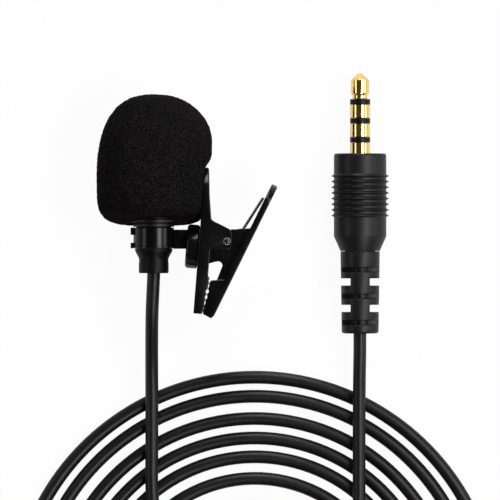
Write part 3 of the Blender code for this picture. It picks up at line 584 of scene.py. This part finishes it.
def smoothRoute(corners, step):
    parts = 20
    corners = [Vector(corner) for corner in corners]
    ends = [2 * corners[0] - corners[1]] + corners + [2 * corners[-1] - corners[-2]]
    fine = []
    for before, start, end, after in zip(ends, ends[1:], ends[2:], ends[3:]):
        span = (end - start).length
        leave = (end - before) * (span / ((start - before).length + span))
        arrive = (after - start) * (span / (span + (after - end).length))
        for k in range(parts):
            t = k / parts
            fine.append(start * (2 * t**3 - 3 * t**2 + 1) + leave * (t**3 - 2 * t**2 + t)
                        + end * (3 * t**2 - 2 * t**3) + arrive * (t**3 - t**2))
    fine.append(corners[-1])
    run = [0.0]
    for first, second in zip(fine, fine[1:]):
        run.append(run[-1] + (second - first).length)
    count = round(run[-1] / step)
    even = []
    at = 0
    for k in range(count + 1):
        want = run[-1] * k / count
        while at < len(fine) - 2 and run[at + 1] < want:
            at += 1
        share = (want - run[at]) / (run[at + 1] - run[at])
        even.append(fine[at].lerp(fine[at + 1], min(1.0, share)))
    return even


def cordRoute():
    over, floor = cordSpec["over"], cordSpec["floor"]
    bootEnd = cordSpec["bootMouth"] + cordSpec["inside"]
    plugEnd = cordSpec["reliefMouth"] + cordSpec["inside"]
    micLead = [
        (micX, bootEnd, 9.85), (-5.68, -11.51, 9.85), (-5.8, -14.2, 9.8), (-5.98, -18.4, 8.95),
        (-6.05, -22.8, 6.85), (-6.08, -27.2, 4.65), (-6.08, -31.2, 3.6), (-6.08, -35.5, over),
        (-6.08, -42.0, over), (-6.08, -48.5, over), (-5.55, -54.5, over), (-4.5, -59.6, 3.62),
        (-3.9, -62.9, 3.45), (-3.8, -66.3, 1.65), (-3.78, -68.6, floor),
    ]
    plugLead = [
        (-4.45, -108.25, floor), (1.0, -110.0, floor), (8.0, -111.1, floor), (14.5, -110.5, 1.7),
        (20.4, -107.7, 3.3), (25.2, -102.8, over), (28.1, -97.0, over), (29.4, -90.5, over),
        (29.75, -84.0, over), (29.75, -76.0, over), (29.75, -68.0, over), (29.75, -60.0, over),
        (29.75, -53.0, over), (29.75, -46.0, over), (29.75, -39.0, over), (29.78, -32.5, 3.75),
        (29.83, -27.5, 4.6), (29.87, -24.6, 4.94), (29.87, -22.21, 4.96), (plugX, plugEnd, plugZ),
    ]
    coil = coilRoute(coilSpec, floor)
    return smoothRoute([*micLead, *coil[::coilSpec["every"]], *plugLead], cordSpec["step"])


def addCord():
    route = cordRoute()
    piece = wire("cord", route, cordSpec["diameter"], cordSpec["roundness"])
    settle(piece, "cord", "microphone", "cord_jacket", "mic_lead", "cord_coil", "plug_lead")
    length = sum((b - a).length for a, b in zip(route, route[1:]))
    print("cord is %.0f mm long" % length)
    return piece


cord = addCord()


# Foam windscreen

foamSpec = {
    "radius": 9.85,
    "top": 19.31,
    "widest": 4.57,
    "bottom": -3.36,
    "domePower": 2.5,
    "basePower": 4.2,
    "cuts": 108,
    "mouth": 4.2,
    "mouthDepth": 3.5,
    "mouthWall": 0.5,
    "frontLift": 1.5,     # the front's lower edge lies this much higher
    "frontReach": 4.6,
    "bulge": 1.05,        # squeezed out over the clip's thumb end
    "bulgeHeight": 13.8,
    "bulgeSpan": 4.7,
    "grains": (("pores", 0.42, 0.3), ("lumps", 2.2, 0.1)),    # name, size and height
    "grainMiddle": 0.62,
    "dentReach": 13.75,
    "dentRim": 2.6,
    "dentGap": 0.04,
}


def limited(share):
    return min(1, max(0, share))


def foamPoint(way, spec):
    # a direction from the foam's middle, taken out to the two superellipses of its outline
    around = math.hypot(way.x, way.z)
    dome = way.y > 0
    power = spec["domePower"] if dome else spec["basePower"]
    height = spec["top"] - spec["widest"] if dome else spec["widest"] - spec["bottom"]
    out = ((around / spec["radius"]) ** power + (abs(way.y) / height) ** power) ** (-1 / power)
    point = way * out
    below = limited(-point.y / height)
    front = limited(point.z / spec["frontReach"])
    point.y += spec["frontLift"] * below**4 * front * front * (3 - 2 * front)
    side = limited(2 * point.x / spec["radius"])
    away = (point.y + spec["widest"] - spec["bulgeHeight"]) / spec["bulgeSpan"]
    point.x += spec["bulge"] * side * math.exp(-away * away)
    inside = limited((spec["mouth"] - math.hypot(point.x, point.z)) / spec["mouthWall"])
    if point.y < 0:
        point.y += spec["mouthDepth"] * inside
    return point + Vector((micX, spec["widest"], micZ))


def dented(point, spec):
    # presses what lies beyond the clip's face back onto it
    reach = point - swivel
    deep = reach.dot(swivelWay) + spec["dentGap"]
    if deep <= 0:
        return point
    across = (reach - reach.dot(swivelWay) * swivelWay).length
    share = limited((spec["dentReach"] + spec["dentRim"] - across) / spec["dentRim"])
    return point - swivelWay * deep * share * share


def addFoam():
    deselectAll()
    bpy.ops.mesh.primitive_cube_add(size=2)
    piece = bpy.context.object
    piece.name = "foamWindscreen"
    bpy.ops.object.mode_set(mode="EDIT")
    bpy.ops.mesh.select_all(action="SELECT")
    bpy.ops.mesh.subdivide(number_cuts=foamSpec["cuts"])
    bpy.ops.object.mode_set(mode="OBJECT")
    for vertex in piece.data.vertices:
        even = Vector([math.tan(c * math.pi / 4) for c in vertex.co])
        vertex.co = foamPoint(even.normalized(), foamSpec) * mm
    for name, size, strength in foamSpec["grains"]:
        texture = bpy.data.textures.new(name, "CLOUDS")
        texture.noise_scale = size * mm
        texture.noise_depth = 2
        displace = piece.modifiers.new(name, "DISPLACE")
        displace.texture = texture
        displace.strength = strength * mm
        displace.mid_level = foamSpec["grainMiddle"]
    applyModifiers(piece)
    for vertex in piece.data.vertices:
        vertex.co = dented(vertex.co / mm, foamSpec) * mm
    only(piece)
    bpy.ops.object.shade_smooth()
    settle(piece, "foam", "windscreen", "foam", "foam_windscreen")


addFoam()
print("foam made")


# Microphone body

bodySpec = {
    "headTop": 5.9,
    "headRadius": 3.75,
    "flange": (4.3, -2.24, -2.78),
    "groove": 3.3,
    "collar": (3.55, -2.9, -3.52),
    "tail": (3.0, -7.3),
    "spigot": (1.8, -9.5),
    "bore": 0.95,
    "chamber": 2.2,
    "coneHeight": 1.3,
    "seat": (3.34, 1.4),  # the capsule's bore and how high it begins
    "edge": 0.07,
    "bootRings": [
        (3.22, -7.24), (3.24, -7.55), (3.06, -7.95), (2.6, -8.82), (2.52, -9.1), (2.52, -9.55),
        (2.57, -9.75), (2.57, -11.2), (2.52, -11.42), (2.4, -11.5), (1.2, -11.5), (1.15, -11.4),
        (1.15, -10.3), (1.84, -9.9), (1.84, -7.5), (2.0, -7.4), (3.03, -7.36), (3.03, -7.24),
    ],
}


def addHousing():
    spec = bodySpec
    radius, top, bottom = spec["flange"]
    collar, collarTop, collarBottom = spec["collar"]
    tail, tailBottom = spec["tail"]
    spigot, spigotBottom = spec["spigot"]
    seat, seatBottom = spec["seat"]
    rings = [
        (spec["headRadius"], spec["headTop"]), (spec["headRadius"], top), (radius, top), (radius, bottom),
        (spec["groove"], bottom), (spec["groove"], collarTop), (collar, collarTop), (collar, collarBottom),
        (tail, collarBottom), (tail, tailBottom), (spigot, tailBottom), (spigot, spigotBottom),
        (spec["bore"], spigotBottom), (spec["bore"], tailBottom),
        (spec["chamber"], tailBottom + spec["coneHeight"]), (spec["chamber"], seatBottom),
        (seat, seatBottom), (seat, spec["headTop"]),
    ]
    piece = lathe("housingBody", rings, alongY(micX, micZ), hollow=True, edge=spec["edge"])
    settle(piece, "satin", "microphone", "satin_black", "housing")


def addBoot():
    piece = lathe("cordBoot", bodySpec["bootRings"], alongY(micX, micZ), hollow=True)
    settle(piece, "boot", "microphone", "rubber", "strain_boot")


addHousing()
addBoot()
print("body made")


# Holder ring, neck and swivel disc

holderSpec = {
    "ringTop": -3.64,
    "ringBottom": -7.21,
    "ringRadius": 3.51,
    "ringEdge": 0.12,
    "lipRadius": 3.66,
    "lipSlope": (0.42, 0.34),     # the lip widens between these heights over the ring's bottom
    "lipEdge": 0.1,
    "bore": 3.06,
    "boreEdge": 0.06,
    "slit": 0.5,
    "nubs": ((-3.64, -4.9), (-6.25, -7.21)),
    "nubReach": 3.98,
    "nubHalf": 1.05,
    "nubRoot": 0.1,
    "nubEdge": 0.08,
    "neckHalf": 1.6,
    "neckRange": (-4.0, -7.3),
    "neckRoot": 0.2,
    "neckEdge": 0.25,
    "discRadius": 3.77,
    "discThick": 2.0,
    "discGap": 0.15,
    "discToPlate": 0.04,
    "discHollow": 1.2,
    "discEdge": 0.25,
    "discBack": ((0, 0.45), (0.14, 0.18), (0.45, 0)),     # in from the rim, up from the back
}


def boxPiece(name, low, high, edge):
    deselectAll()
    middle = [(a + b) / 2 * mm for a, b in zip(low, high)]
    size = [(b - a) * mm for a, b in zip(low, high)]
    bpy.ops.mesh.primitive_cube_add(size=1, location=middle)
    piece = bpy.context.object
    piece.name = name
    piece.scale = size
    only(piece)
    bpy.ops.object.transform_apply(location=True, rotation=True, scale=True)
    if edge:
        bevelled(piece, edge)
        smoothed(piece)
    return piece


def carved(piece, other, operation="DIFFERENCE"):
    cut = piece.modifiers.new("cut", "BOOLEAN")
    cut.operation = operation
    cut.object = other
    applyModifiers(piece)
    bpy.data.objects.remove(other, do_unlink=True)


def drilled(piece, radius, place):
    # the drill is longer than any of these pieces is thick
    deselectAll()
    bpy.ops.mesh.primitive_cylinder_add(vertices=40, radius=radius * mm, depth=12 * mm)
    drill = bpy.context.object
    drill.matrix_world = place
    carved(piece, drill)


def swivelAxes():
    place = Matrix.Rotation(-plateTilt, 4, "Z") @ Matrix.Rotation(math.pi / 2, 4, "Y")
    return Matrix.Translation(swivel * mm) @ place


def ringPiece(spec):
    top, bottom, bore = spec["ringTop"], spec["ringBottom"], spec["bore"]
    radius, lip = spec["ringRadius"], spec["lipRadius"]
    edge, lipEdge, boreEdge = spec["ringEdge"], spec["lipEdge"], spec["boreEdge"]
    slopeTop, slopeBottom = spec["lipSlope"]
    rings = [
        (radius - edge, top), (radius, top - edge), (radius, bottom + slopeTop),
        (lip, bottom + slopeBottom), (lip, bottom + lipEdge), (lip - lipEdge, bottom),
        (bore + boreEdge, bottom), (bore, bottom + boreEdge), (bore, top - boreEdge),
        (bore + boreEdge, top),
    ]
    ring = lathe("ring", rings, alongY(micX, micZ), hollow=True)
    only(ring)
    bpy.ops.object.transform_apply(location=True, rotation=True, scale=True)
    return ring


def discPiece(spec):
    radius, face = spec["discRadius"], -spec["discToPlate"]
    back = -spec["discGap"] - spec["discThick"]
    rings = [
        (spec["discHollow"], face), (radius - spec["discEdge"], face), (radius, face - spec["discEdge"]),
        *[(radius - inwards, back + up) for inwards, up in spec["discBack"]], (0.4, back),
    ]
    return lathe("disc", rings, swivelAxes())


def addHolder():
    spec = holderSpec
    bore, slitHalf = spec["bore"], spec["slit"] / 2
    ring = ringPiece(spec)
    nubs = []
    for k, (high, low) in enumerate(spec["nubs"]):
        for side in (-1, 1):
            near, far = sorted((micZ + side * slitHalf, micZ + side * spec["nubHalf"]))
            nub = boxPiece("nub%d%d" % (k, side), (micX - spec["nubReach"], low, near),
                           (micX - bore - spec["nubRoot"], high, far), spec["nubEdge"])
            nubs.append(nub)
    # what cuts the slit reaches past the ring at both ends, outside it and into its bore
    slit = boxPiece("slit", (micX - 6, spec["ringBottom"] - 1, micZ - slitHalf),
                    (micX - bore + 0.4, spec["ringTop"] + 1, micZ + slitHalf), 0)
    carved(ring, slit)
    discMiddle = swivel - swivelWay * (spec["discGap"] + spec["discThick"] / 2)
    high, low = spec["neckRange"]
    neck = boxPiece("neck", (micX + bore + spec["neckRoot"], low, micZ - spec["neckHalf"]),
                    (discMiddle.x, high, micZ + spec["neckHalf"]), spec["neckEdge"])
    disc = discPiece(spec)
    piece = joined("holderRing", ring, neck, disc, *nubs)
    settle(piece, "gloss", "holder", "gloss_black", "holder_ring")


addHolder()


rivetSpec = {
    "rings": [
        (0.3, 2.62), (0.9, 2.55), (1.35, 2.38), (1.58, 2.2), (1.6, 2.1), (0.8, 2.1),
        (0.8, -1.75), (0.3, -1.75),
    ],
    "steps": 48,
}


def addRivet():
    piece = lathe("swivelRivet", rivetSpec["rings"], swivelAxes(), steps=rivetSpec["steps"])
    settle(piece, "steel", "holder", "steel", "swivel_rivet")


addRivet()
print("holder made")


# Clip: outlines in the plate's and the lever's own axes, x away from the microphone, y to the thumb end

clipSpec = {
    "leverTilt": 26.26,
    "halfWidth": 4.25,
    "spare": 1,           # what a jaw is made too wide by, and then trimmed
    "far": 20,            # reaches past the clip in every direction
    "padRound": 4.0,      # corner radius of both thumb ends
    "edge": 0.1,
    "pinRadius": 0.55,
    "pinSink": 0.06,
    "pinToPlate": 4.81,
    "pinToLever": 3.66,
    "plateHoleGap": 0.04,
    "leverHoleGap": 0.08,
    "rivetHole": 0.88,
    "plateTop": 12.4,
    "plateTip": 0.76,
    "plateTipRound": 0.38,
    "plateBack": ((1.2, 7.6), (1.8, 3.5), (2.0, -1.6), (2.0, -6.15), (2.36, -6.75)),
    "plateThick": 2.0,
    "plateBottom": -12.8,
    "plateFoot": 1.45,
    "leverThick": 1.1,
    "leverTop": 12.3,
    "leverTipRound": 0.3,
    "leverFootGap": 0.1,
    "jawTop": -6.9,
    "jawTopThick": 2.35,
    "jawBottomThick": 1.55,
    "jawGap": 0.02,
    "toothDepths": (0.24, 0.1, 0.3, 0.22, 0.1, 0.02),
    "toothShares": (0.02, 0.5),   # where in a tooth's pitch its notch and its crest lie
    "earThick": 0.9,
    "earRoot": 0.9,
    "wallGap": 0.15,
    "wallThick": 0.9,
    "wallRoot": 0.55,
    "wallToPlate": 0.02,
    "bossRadius": 1.4,
}


def clipAxes(tilt):
    return Matrix.Translation(pin * mm) @ Matrix.Rotation(-tilt, 4, "Z")


def jawThickness(y):
    share = (clipSpec["jawTop"] - y) / (clipSpec["jawTop"] - clipSpec["plateBottom"])
    return clipSpec["jawTopThick"] + share * (clipSpec["jawBottomThick"] - clipSpec["jawTopThick"])


def jawLine(onLever):
    pitch = (clipSpec["jawTop"] - clipSpec["plateBottom"]) / len(clipSpec["toothDepths"])
    notch, crest = clipSpec["toothShares"]
    line = []
    for tooth, deep in enumerate(clipSpec["toothDepths"]):
        for share, depth in ((notch, deep), (crest, 0)):
            y = clipSpec["jawTop"] - (tooth + share) * pitch
            into = depth + clipSpec["jawGap"] if onLever else -depth
            line.append((jawThickness(y) + into - clipSpec["pinToPlate"], y))
    return line


def inLeverAxes(point):
    turn = math.radians(clipSpec["leverTilt"]) - plateTilt
    x, y = point
    return (x * math.cos(turn) - y * math.sin(turn), x * math.sin(turn) + y * math.cos(turn))


def quarter(steps):
    return [math.pi / 2 * k / steps for k in range(steps + 1)]


def tipArc(left, right, top, radius):
    # the end between two faces with round corners, walked from the left one to the right one
    corner = [(radius * (1 - math.cos(a)), top - radius * (1 - math.sin(a))) for a in quarter(5)]
    return [(left + x, y) for x, y in corner] + [(right - x, y) for x, y in reversed(corner)]


def roundPad(piece, top, place):
    # trims a jaw to its width, with the two corners of its thumb end rounded
    half, radius, far = clipSpec["halfWidth"], clipSpec["padRound"], clipSpec["far"]
    corner = [(half - radius + radius * math.cos(a), top - radius + radius * math.sin(a))
              for a in quarter(14)]
    outline = corner + [(-x, y) for x, y in reversed(corner)] + [(-half, -far), (half, -far)]
    pad = cutOut("pad", outline, -far, far, place @ Matrix.Rotation(math.pi / 2, 4, "Y"))
    carved(piece, pad, "INTERSECT")


def sidePieces(name, outline, outside, thick, place):
    # the same outline twice, with its outer faces this far from the clip's middle
    return [cutOut("%s%d" % (name, k), outline, base, base + thick, place)
            for k, base in enumerate((-outside, outside - thick))]


def finishJaw(piece, sides, top, place, holeRadius):
    roundPad(piece, top, place)
    for side in sides:
        carved(piece, side, "UNION")
    drilled(piece, holeRadius, place)


def roundEdges(piece):
    cleaned(piece, 0.002)
    bevelled(piece, clipSpec["edge"], 3, 35)
    smoothed(piece, 35)


def addPlate():
    face = -clipSpec["pinToPlate"]
    half, wide = clipSpec["halfWidth"], clipSpec["halfWidth"] + clipSpec["spare"]
    top, low = clipSpec["plateTop"], clipSpec["plateBottom"]
    place = clipAxes(plateTilt)
    outline = [
        *tipArc(face, face + clipSpec["plateTip"], top, clipSpec["plateTipRound"]),
        *[(face + x, y) for x, y in clipSpec["plateBack"]],
        *jawLine(False), (face + clipSpec["plateFoot"], low), (face, low),
    ]
    plate = cutOut("clipPlate", outline, -wide, wide, place)
    root = face + clipSpec["earRoot"]
    ear = [
        (root, 4.1), (face + 1.66, 4.1), (face + 1.8, 3.64), (-2.8, 3.4), (-2.24, 3.12), (-1.71, 2.93),
        (-1.0, 2.64), (-0.28, 2.32), (0.24, 2.15), (0.56, 1.8), (0.75, 1.2), (0.8, 0.5), (0.8, -0.6),
        (0.62, -1.25), (0.3, -1.52), (-0.2, -1.6), (root, -1.6),
    ]
    ears = sidePieces("ear", ear, half, clipSpec["earThick"], place)
    finishJaw(plate, ears, top, place, clipSpec["pinRadius"] + clipSpec["plateHoleGap"])
    drilled(plate, clipSpec["rivetHole"], swivelAxes())
    roundEdges(plate)
    settle(plate, "gloss", "clip", "gloss_black", "clip_plate")


def addLever():
    outer = clipSpec["pinToLever"]
    inner = outer - clipSpec["leverThick"]
    half, wide = clipSpec["halfWidth"], clipSpec["halfWidth"] + clipSpec["spare"]
    top, bottom = clipSpec["leverTop"], clipSpec["plateBottom"]
    place = clipAxes(math.radians(clipSpec["leverTilt"]))
    foot = jawThickness(bottom) + clipSpec["leverFootGap"] - clipSpec["pinToPlate"]
    outline = [
        *reversed(tipArc(inner, outer, top, clipSpec["leverTipRound"])), (inner, -6.2), (inner - 0.9, -6.6),
        *[inLeverAxes(point) for point in jawLine(True)], inLeverAxes((foot, bottom)),
        (outer - 0.3, -13.1), (outer, -12.5),
    ]
    lever = cutOut("clipLever", outline, -wide, wide, place)
    root, radius = outer - clipSpec["wallRoot"], clipSpec["bossRadius"]
    boss = [(-radius * math.sin(a), radius * math.cos(a)) for a in (0.2, 0.6, 1.0, 1.4, 1.8)]
    beside = clipSpec["wallToPlate"] + clipSpec["plateThick"] - clipSpec["pinToPlate"]
    wall = [
        (root, 4.0), (inner, 3.75), (1.78, 3.3), (1.1, 2.98), (0.4, 2.5), (-0.31, 2.15), *boss,
        inLeverAxes((beside, -1.9)), inLeverAxes((beside, -4.05)), (-0.3, -4.1), (0.2, -3.74),
        (0.7, -3.72), (1.12, -4.05), (inner - 1.2, -6.75), (root, -6.9),
    ]
    outside = half - clipSpec["earThick"] - clipSpec["wallGap"]
    walls = sidePieces("wall", wall, outside, clipSpec["wallThick"], place)
    finishJaw(lever, walls, top, place, clipSpec["pinRadius"] + clipSpec["leverHoleGap"])
    roundEdges(lever)
    settle(lever, "gloss", "lever", "gloss_black", "clip_lever")


def addPin():
    half = clipSpec["halfWidth"] - clipSpec["pinSink"]
    radius = clipSpec["pinRadius"]
    upper = [(0.1, half), (radius - 0.2, half - 0.03), (radius - 0.07, half - 0.12), (radius, half - 0.3)]
    rings = upper + [(ring, -height) for ring, height in reversed(upper)]
    piece = lathe("hingePin", rings, Matrix.Translation(pin * mm), steps=32)
    settle(piece, "darkSteel", "clip", "steel", "hinge_pin")


addPlate()
addLever()
addPin()


springSpec = {
    "wire": 0.5,
    "roundness": 3,
    "radius": 1.2,
    "pitch": 0.95,
    "turns": 3,
    "steps": 36,
    "gap": 0.05,          # between the wire and the faces that it lies on
    "plateLeg": (1.9, 3.1),       # its end, from the plate's outer face and over the pin
    "plateLegSteps": 6,
    "leg": 9.45,
    "leverLegSteps": 10,
}


def springLine():
    spec = springSpec
    plate = clipAxes(plateTilt).to_3x3()
    lever = clipAxes(math.radians(clipSpec["leverTilt"])).to_3x3()
    clear = spec["wire"] / 2 + spec["gap"]
    deep, high = spec["plateLeg"]
    plateTip = plate @ Vector((deep + clear - clipSpec["pinToPlate"], high, 0))
    leverTip = lever @ Vector((clipSpec["pinToLever"] - clipSpec["leverThick"] - clear, spec["leg"], 0))
    enter = math.atan2(plateTip.y, plateTip.x) + math.acos(spec["radius"] / plateTip.length)
    leave = math.atan2(leverTip.y, leverTip.x) - math.acos(spec["radius"] / leverTip.length)
    sweep = (leave - enter) % (2 * math.pi) + spec["turns"] * 2 * math.pi
    height = spec["pitch"] * sweep / (2 * math.pi)
    count = round(spec["steps"] * sweep / (2 * math.pi))
    curls = []
    for k in range(count + 1):
        angle = enter + sweep * k / count
        curls.append(Vector((math.cos(angle), math.sin(angle), 0)) * spec["radius"]
                     + Vector((0, 0, height * (k / count - 0.5))))
    start = plateTip - Vector((0, 0, height / 2))
    end = leverTip + Vector((0, 0, height / 2))
    short, long = spec["plateLegSteps"], spec["leverLegSteps"]
    line = [start + (curls[0] - start) * k / short for k in range(short)] + curls
    line += [curls[-1] + (end - curls[-1]) * k / long for k in range(1, long + 1)]
    return [pin + point for point in line], height


def addSpring():
    line, height = springLine()
    piece = wire("torsionSpring", line, springSpec["wire"], springSpec["roundness"])
    only(piece)
    bpy.ops.object.convert(target="MESH")
    piece = bpy.context.object
    bpy.ops.object.shade_smooth()
    dress(piece, "steel")
    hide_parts("clip_spring")
    low = pin - Vector((0, 0, height / 2))
    high = pin + Vector((0, 0, height / 2))
    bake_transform(piece)


addSpring()
print("clip made")


# Plug

plugSpec = {
    "gripRadius": 4.53,
    "gripTop": 9.17,
    "gripRound": ((0.35, 0), (0.12, 0.08), (0.02, 0.28), (0, 0.5)),       # in and down from the corner
    "ribRadius": 4.96,
    "ribTop": 5.29,
    "ribPitch": 0.976,
    "ribs": 8,
    "ribHalf": 0.34,
    "ribFoot": (0.1, 0.55),
    "ribCrest": (0.03, 0.08),
    "coneTop": -5.16,
    "gripBottom": -7.67,
    "gripMouth": (1.79, 5.2),
    "gripBore": 2.2,
    "reliefSeat": (2.64, -5.0),
    "reliefTop": 3.39,
    "reliefEdge": 0.08,
    "contactRadius": 1.75,
    "contactSink": 0.03,
    "contactEdge": 0.06,
    "insulatorEdge": 0.03,
    "core": 0.79,
    "tipRings": (
        (0.12, 0), (0.3, 0.03), (0.5, 0.14), (0.72, 0.34), (1.1, 0.7), (1.42, 1.0), (1.55, 1.15),
        (1.58, 1.35), (1.58, 3.4), (1.5, 3.62), (1.32, 3.82), (1.3, 3.95),
    ),
}


def addGrip():
    spec = plugSpec
    grip, rib, half = spec["gripRadius"], spec["ribRadius"], spec["ribHalf"]
    top, bottom, cone = spec["gripTop"], spec["gripBottom"], spec["coneTop"]
    mouth, mouthBottom = spec["gripMouth"]
    seat, seatTop = spec["reliefSeat"]
    foot, footShare = spec["ribFoot"]
    crest, crestHalf = spec["ribCrest"]
    rings = [(mouth, top), *[(grip - inwards, top - down) for inwards, down in spec["gripRound"]]]
    upper = [(grip, half), (grip + foot, footShare * half), (rib - crest, crestHalf)]
    for k in range(spec["ribs"]):
        middle = spec["ribTop"] - k * spec["ribPitch"]
        rings += [(radius, middle + rise) for radius, rise in upper]
        rings.append((rib, middle))
        rings += [(radius, middle - rise) for radius, rise in reversed(upper)]
    rings += [(grip, cone + 0.15), (grip - 0.05, cone - 0.1), (spec["reliefTop"] + 0.06, bottom + 0.12),
              (spec["reliefTop"], bottom), (seat, bottom), (seat, seatTop), (spec["gripBore"], seatTop),
              (spec["gripBore"], mouthBottom), (mouth, mouthBottom)]
    piece = lathe("plugGrip", rings, alongY(plugX, plugZ), hollow=True)
    settle(piece, "satin", "microphone", "satin_black", "plug_handle")


def addRelief():
    only(nodes["plug_relief"])
    bpy.ops.object.duplicate()
    piece = bpy.context.object
    piece.name = "plugRelief"
    cleaned(piece, 0.001)
    bevelled(piece, plugSpec["reliefEdge"], 2, 40)
    smoothed(piece, 35)
    settle(piece, "satin", "microphone", "satin_black", "plug_relief")


def addContacts():
    spec = plugSpec
    axis = alongY(plugX, plugZ)
    names = ("plug_sleeve", "plug_insulator_3", "plug_ring_2", "plug_insulator_2", "plug_ring_1",
             "plug_insulator_1")
    for node in names:
        low, high = [corner[1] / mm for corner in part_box(node)]
        finish = "insulator" if "insulator" in node else "gilt"
        outer, edge = spec["contactRadius"], spec["insulatorEdge"]
        if finish == "gilt":
            outer, edge = spec["contactRadius"] - spec["contactSink"], spec["contactEdge"]
        rings = [(outer - edge, high), (outer, high - edge), (outer, low + edge), (outer - edge, low),
                 (spec["core"], low), (spec["core"], high)]
        first, *others = node.split("_")
        piece = lathe(first + "".join(word.title() for word in others), rings, axis, 64, hollow=True)
        settle(piece, finish, "microphone", finish, node)
    low, high = [corner[1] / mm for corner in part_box("plug_tip")]
    rings = [(radius, high - down) for radius, down in spec["tipRings"]]
    rings += [(1.3, low + 0.1), (1.26, low), (0.2, low)]
    tip = lathe("plugTip", rings, axis, 64)
    settle(tip, "gilt", "microphone", "gilt", "plug_tip")


addGrip()
addRelief()
addContacts()
print("plug made")


# What is inside keeps its CAD shape, with a finish of its own

insides = {
    "head_grille": "cap", "dust_felt": "felt", "electret_capsule": "can", "capsule_gasket": "boot",
    "capsule_board": "board", "signal_wire": "redWire", "ground_wire": "copper", "plug_core": "insulator",
}
for nodeName, finish in insides.items():
    nodes[nodeName].data.materials.clear()
    nodes[nodeName].data.materials.append(finishes[finish])
print("inside pieces finished")
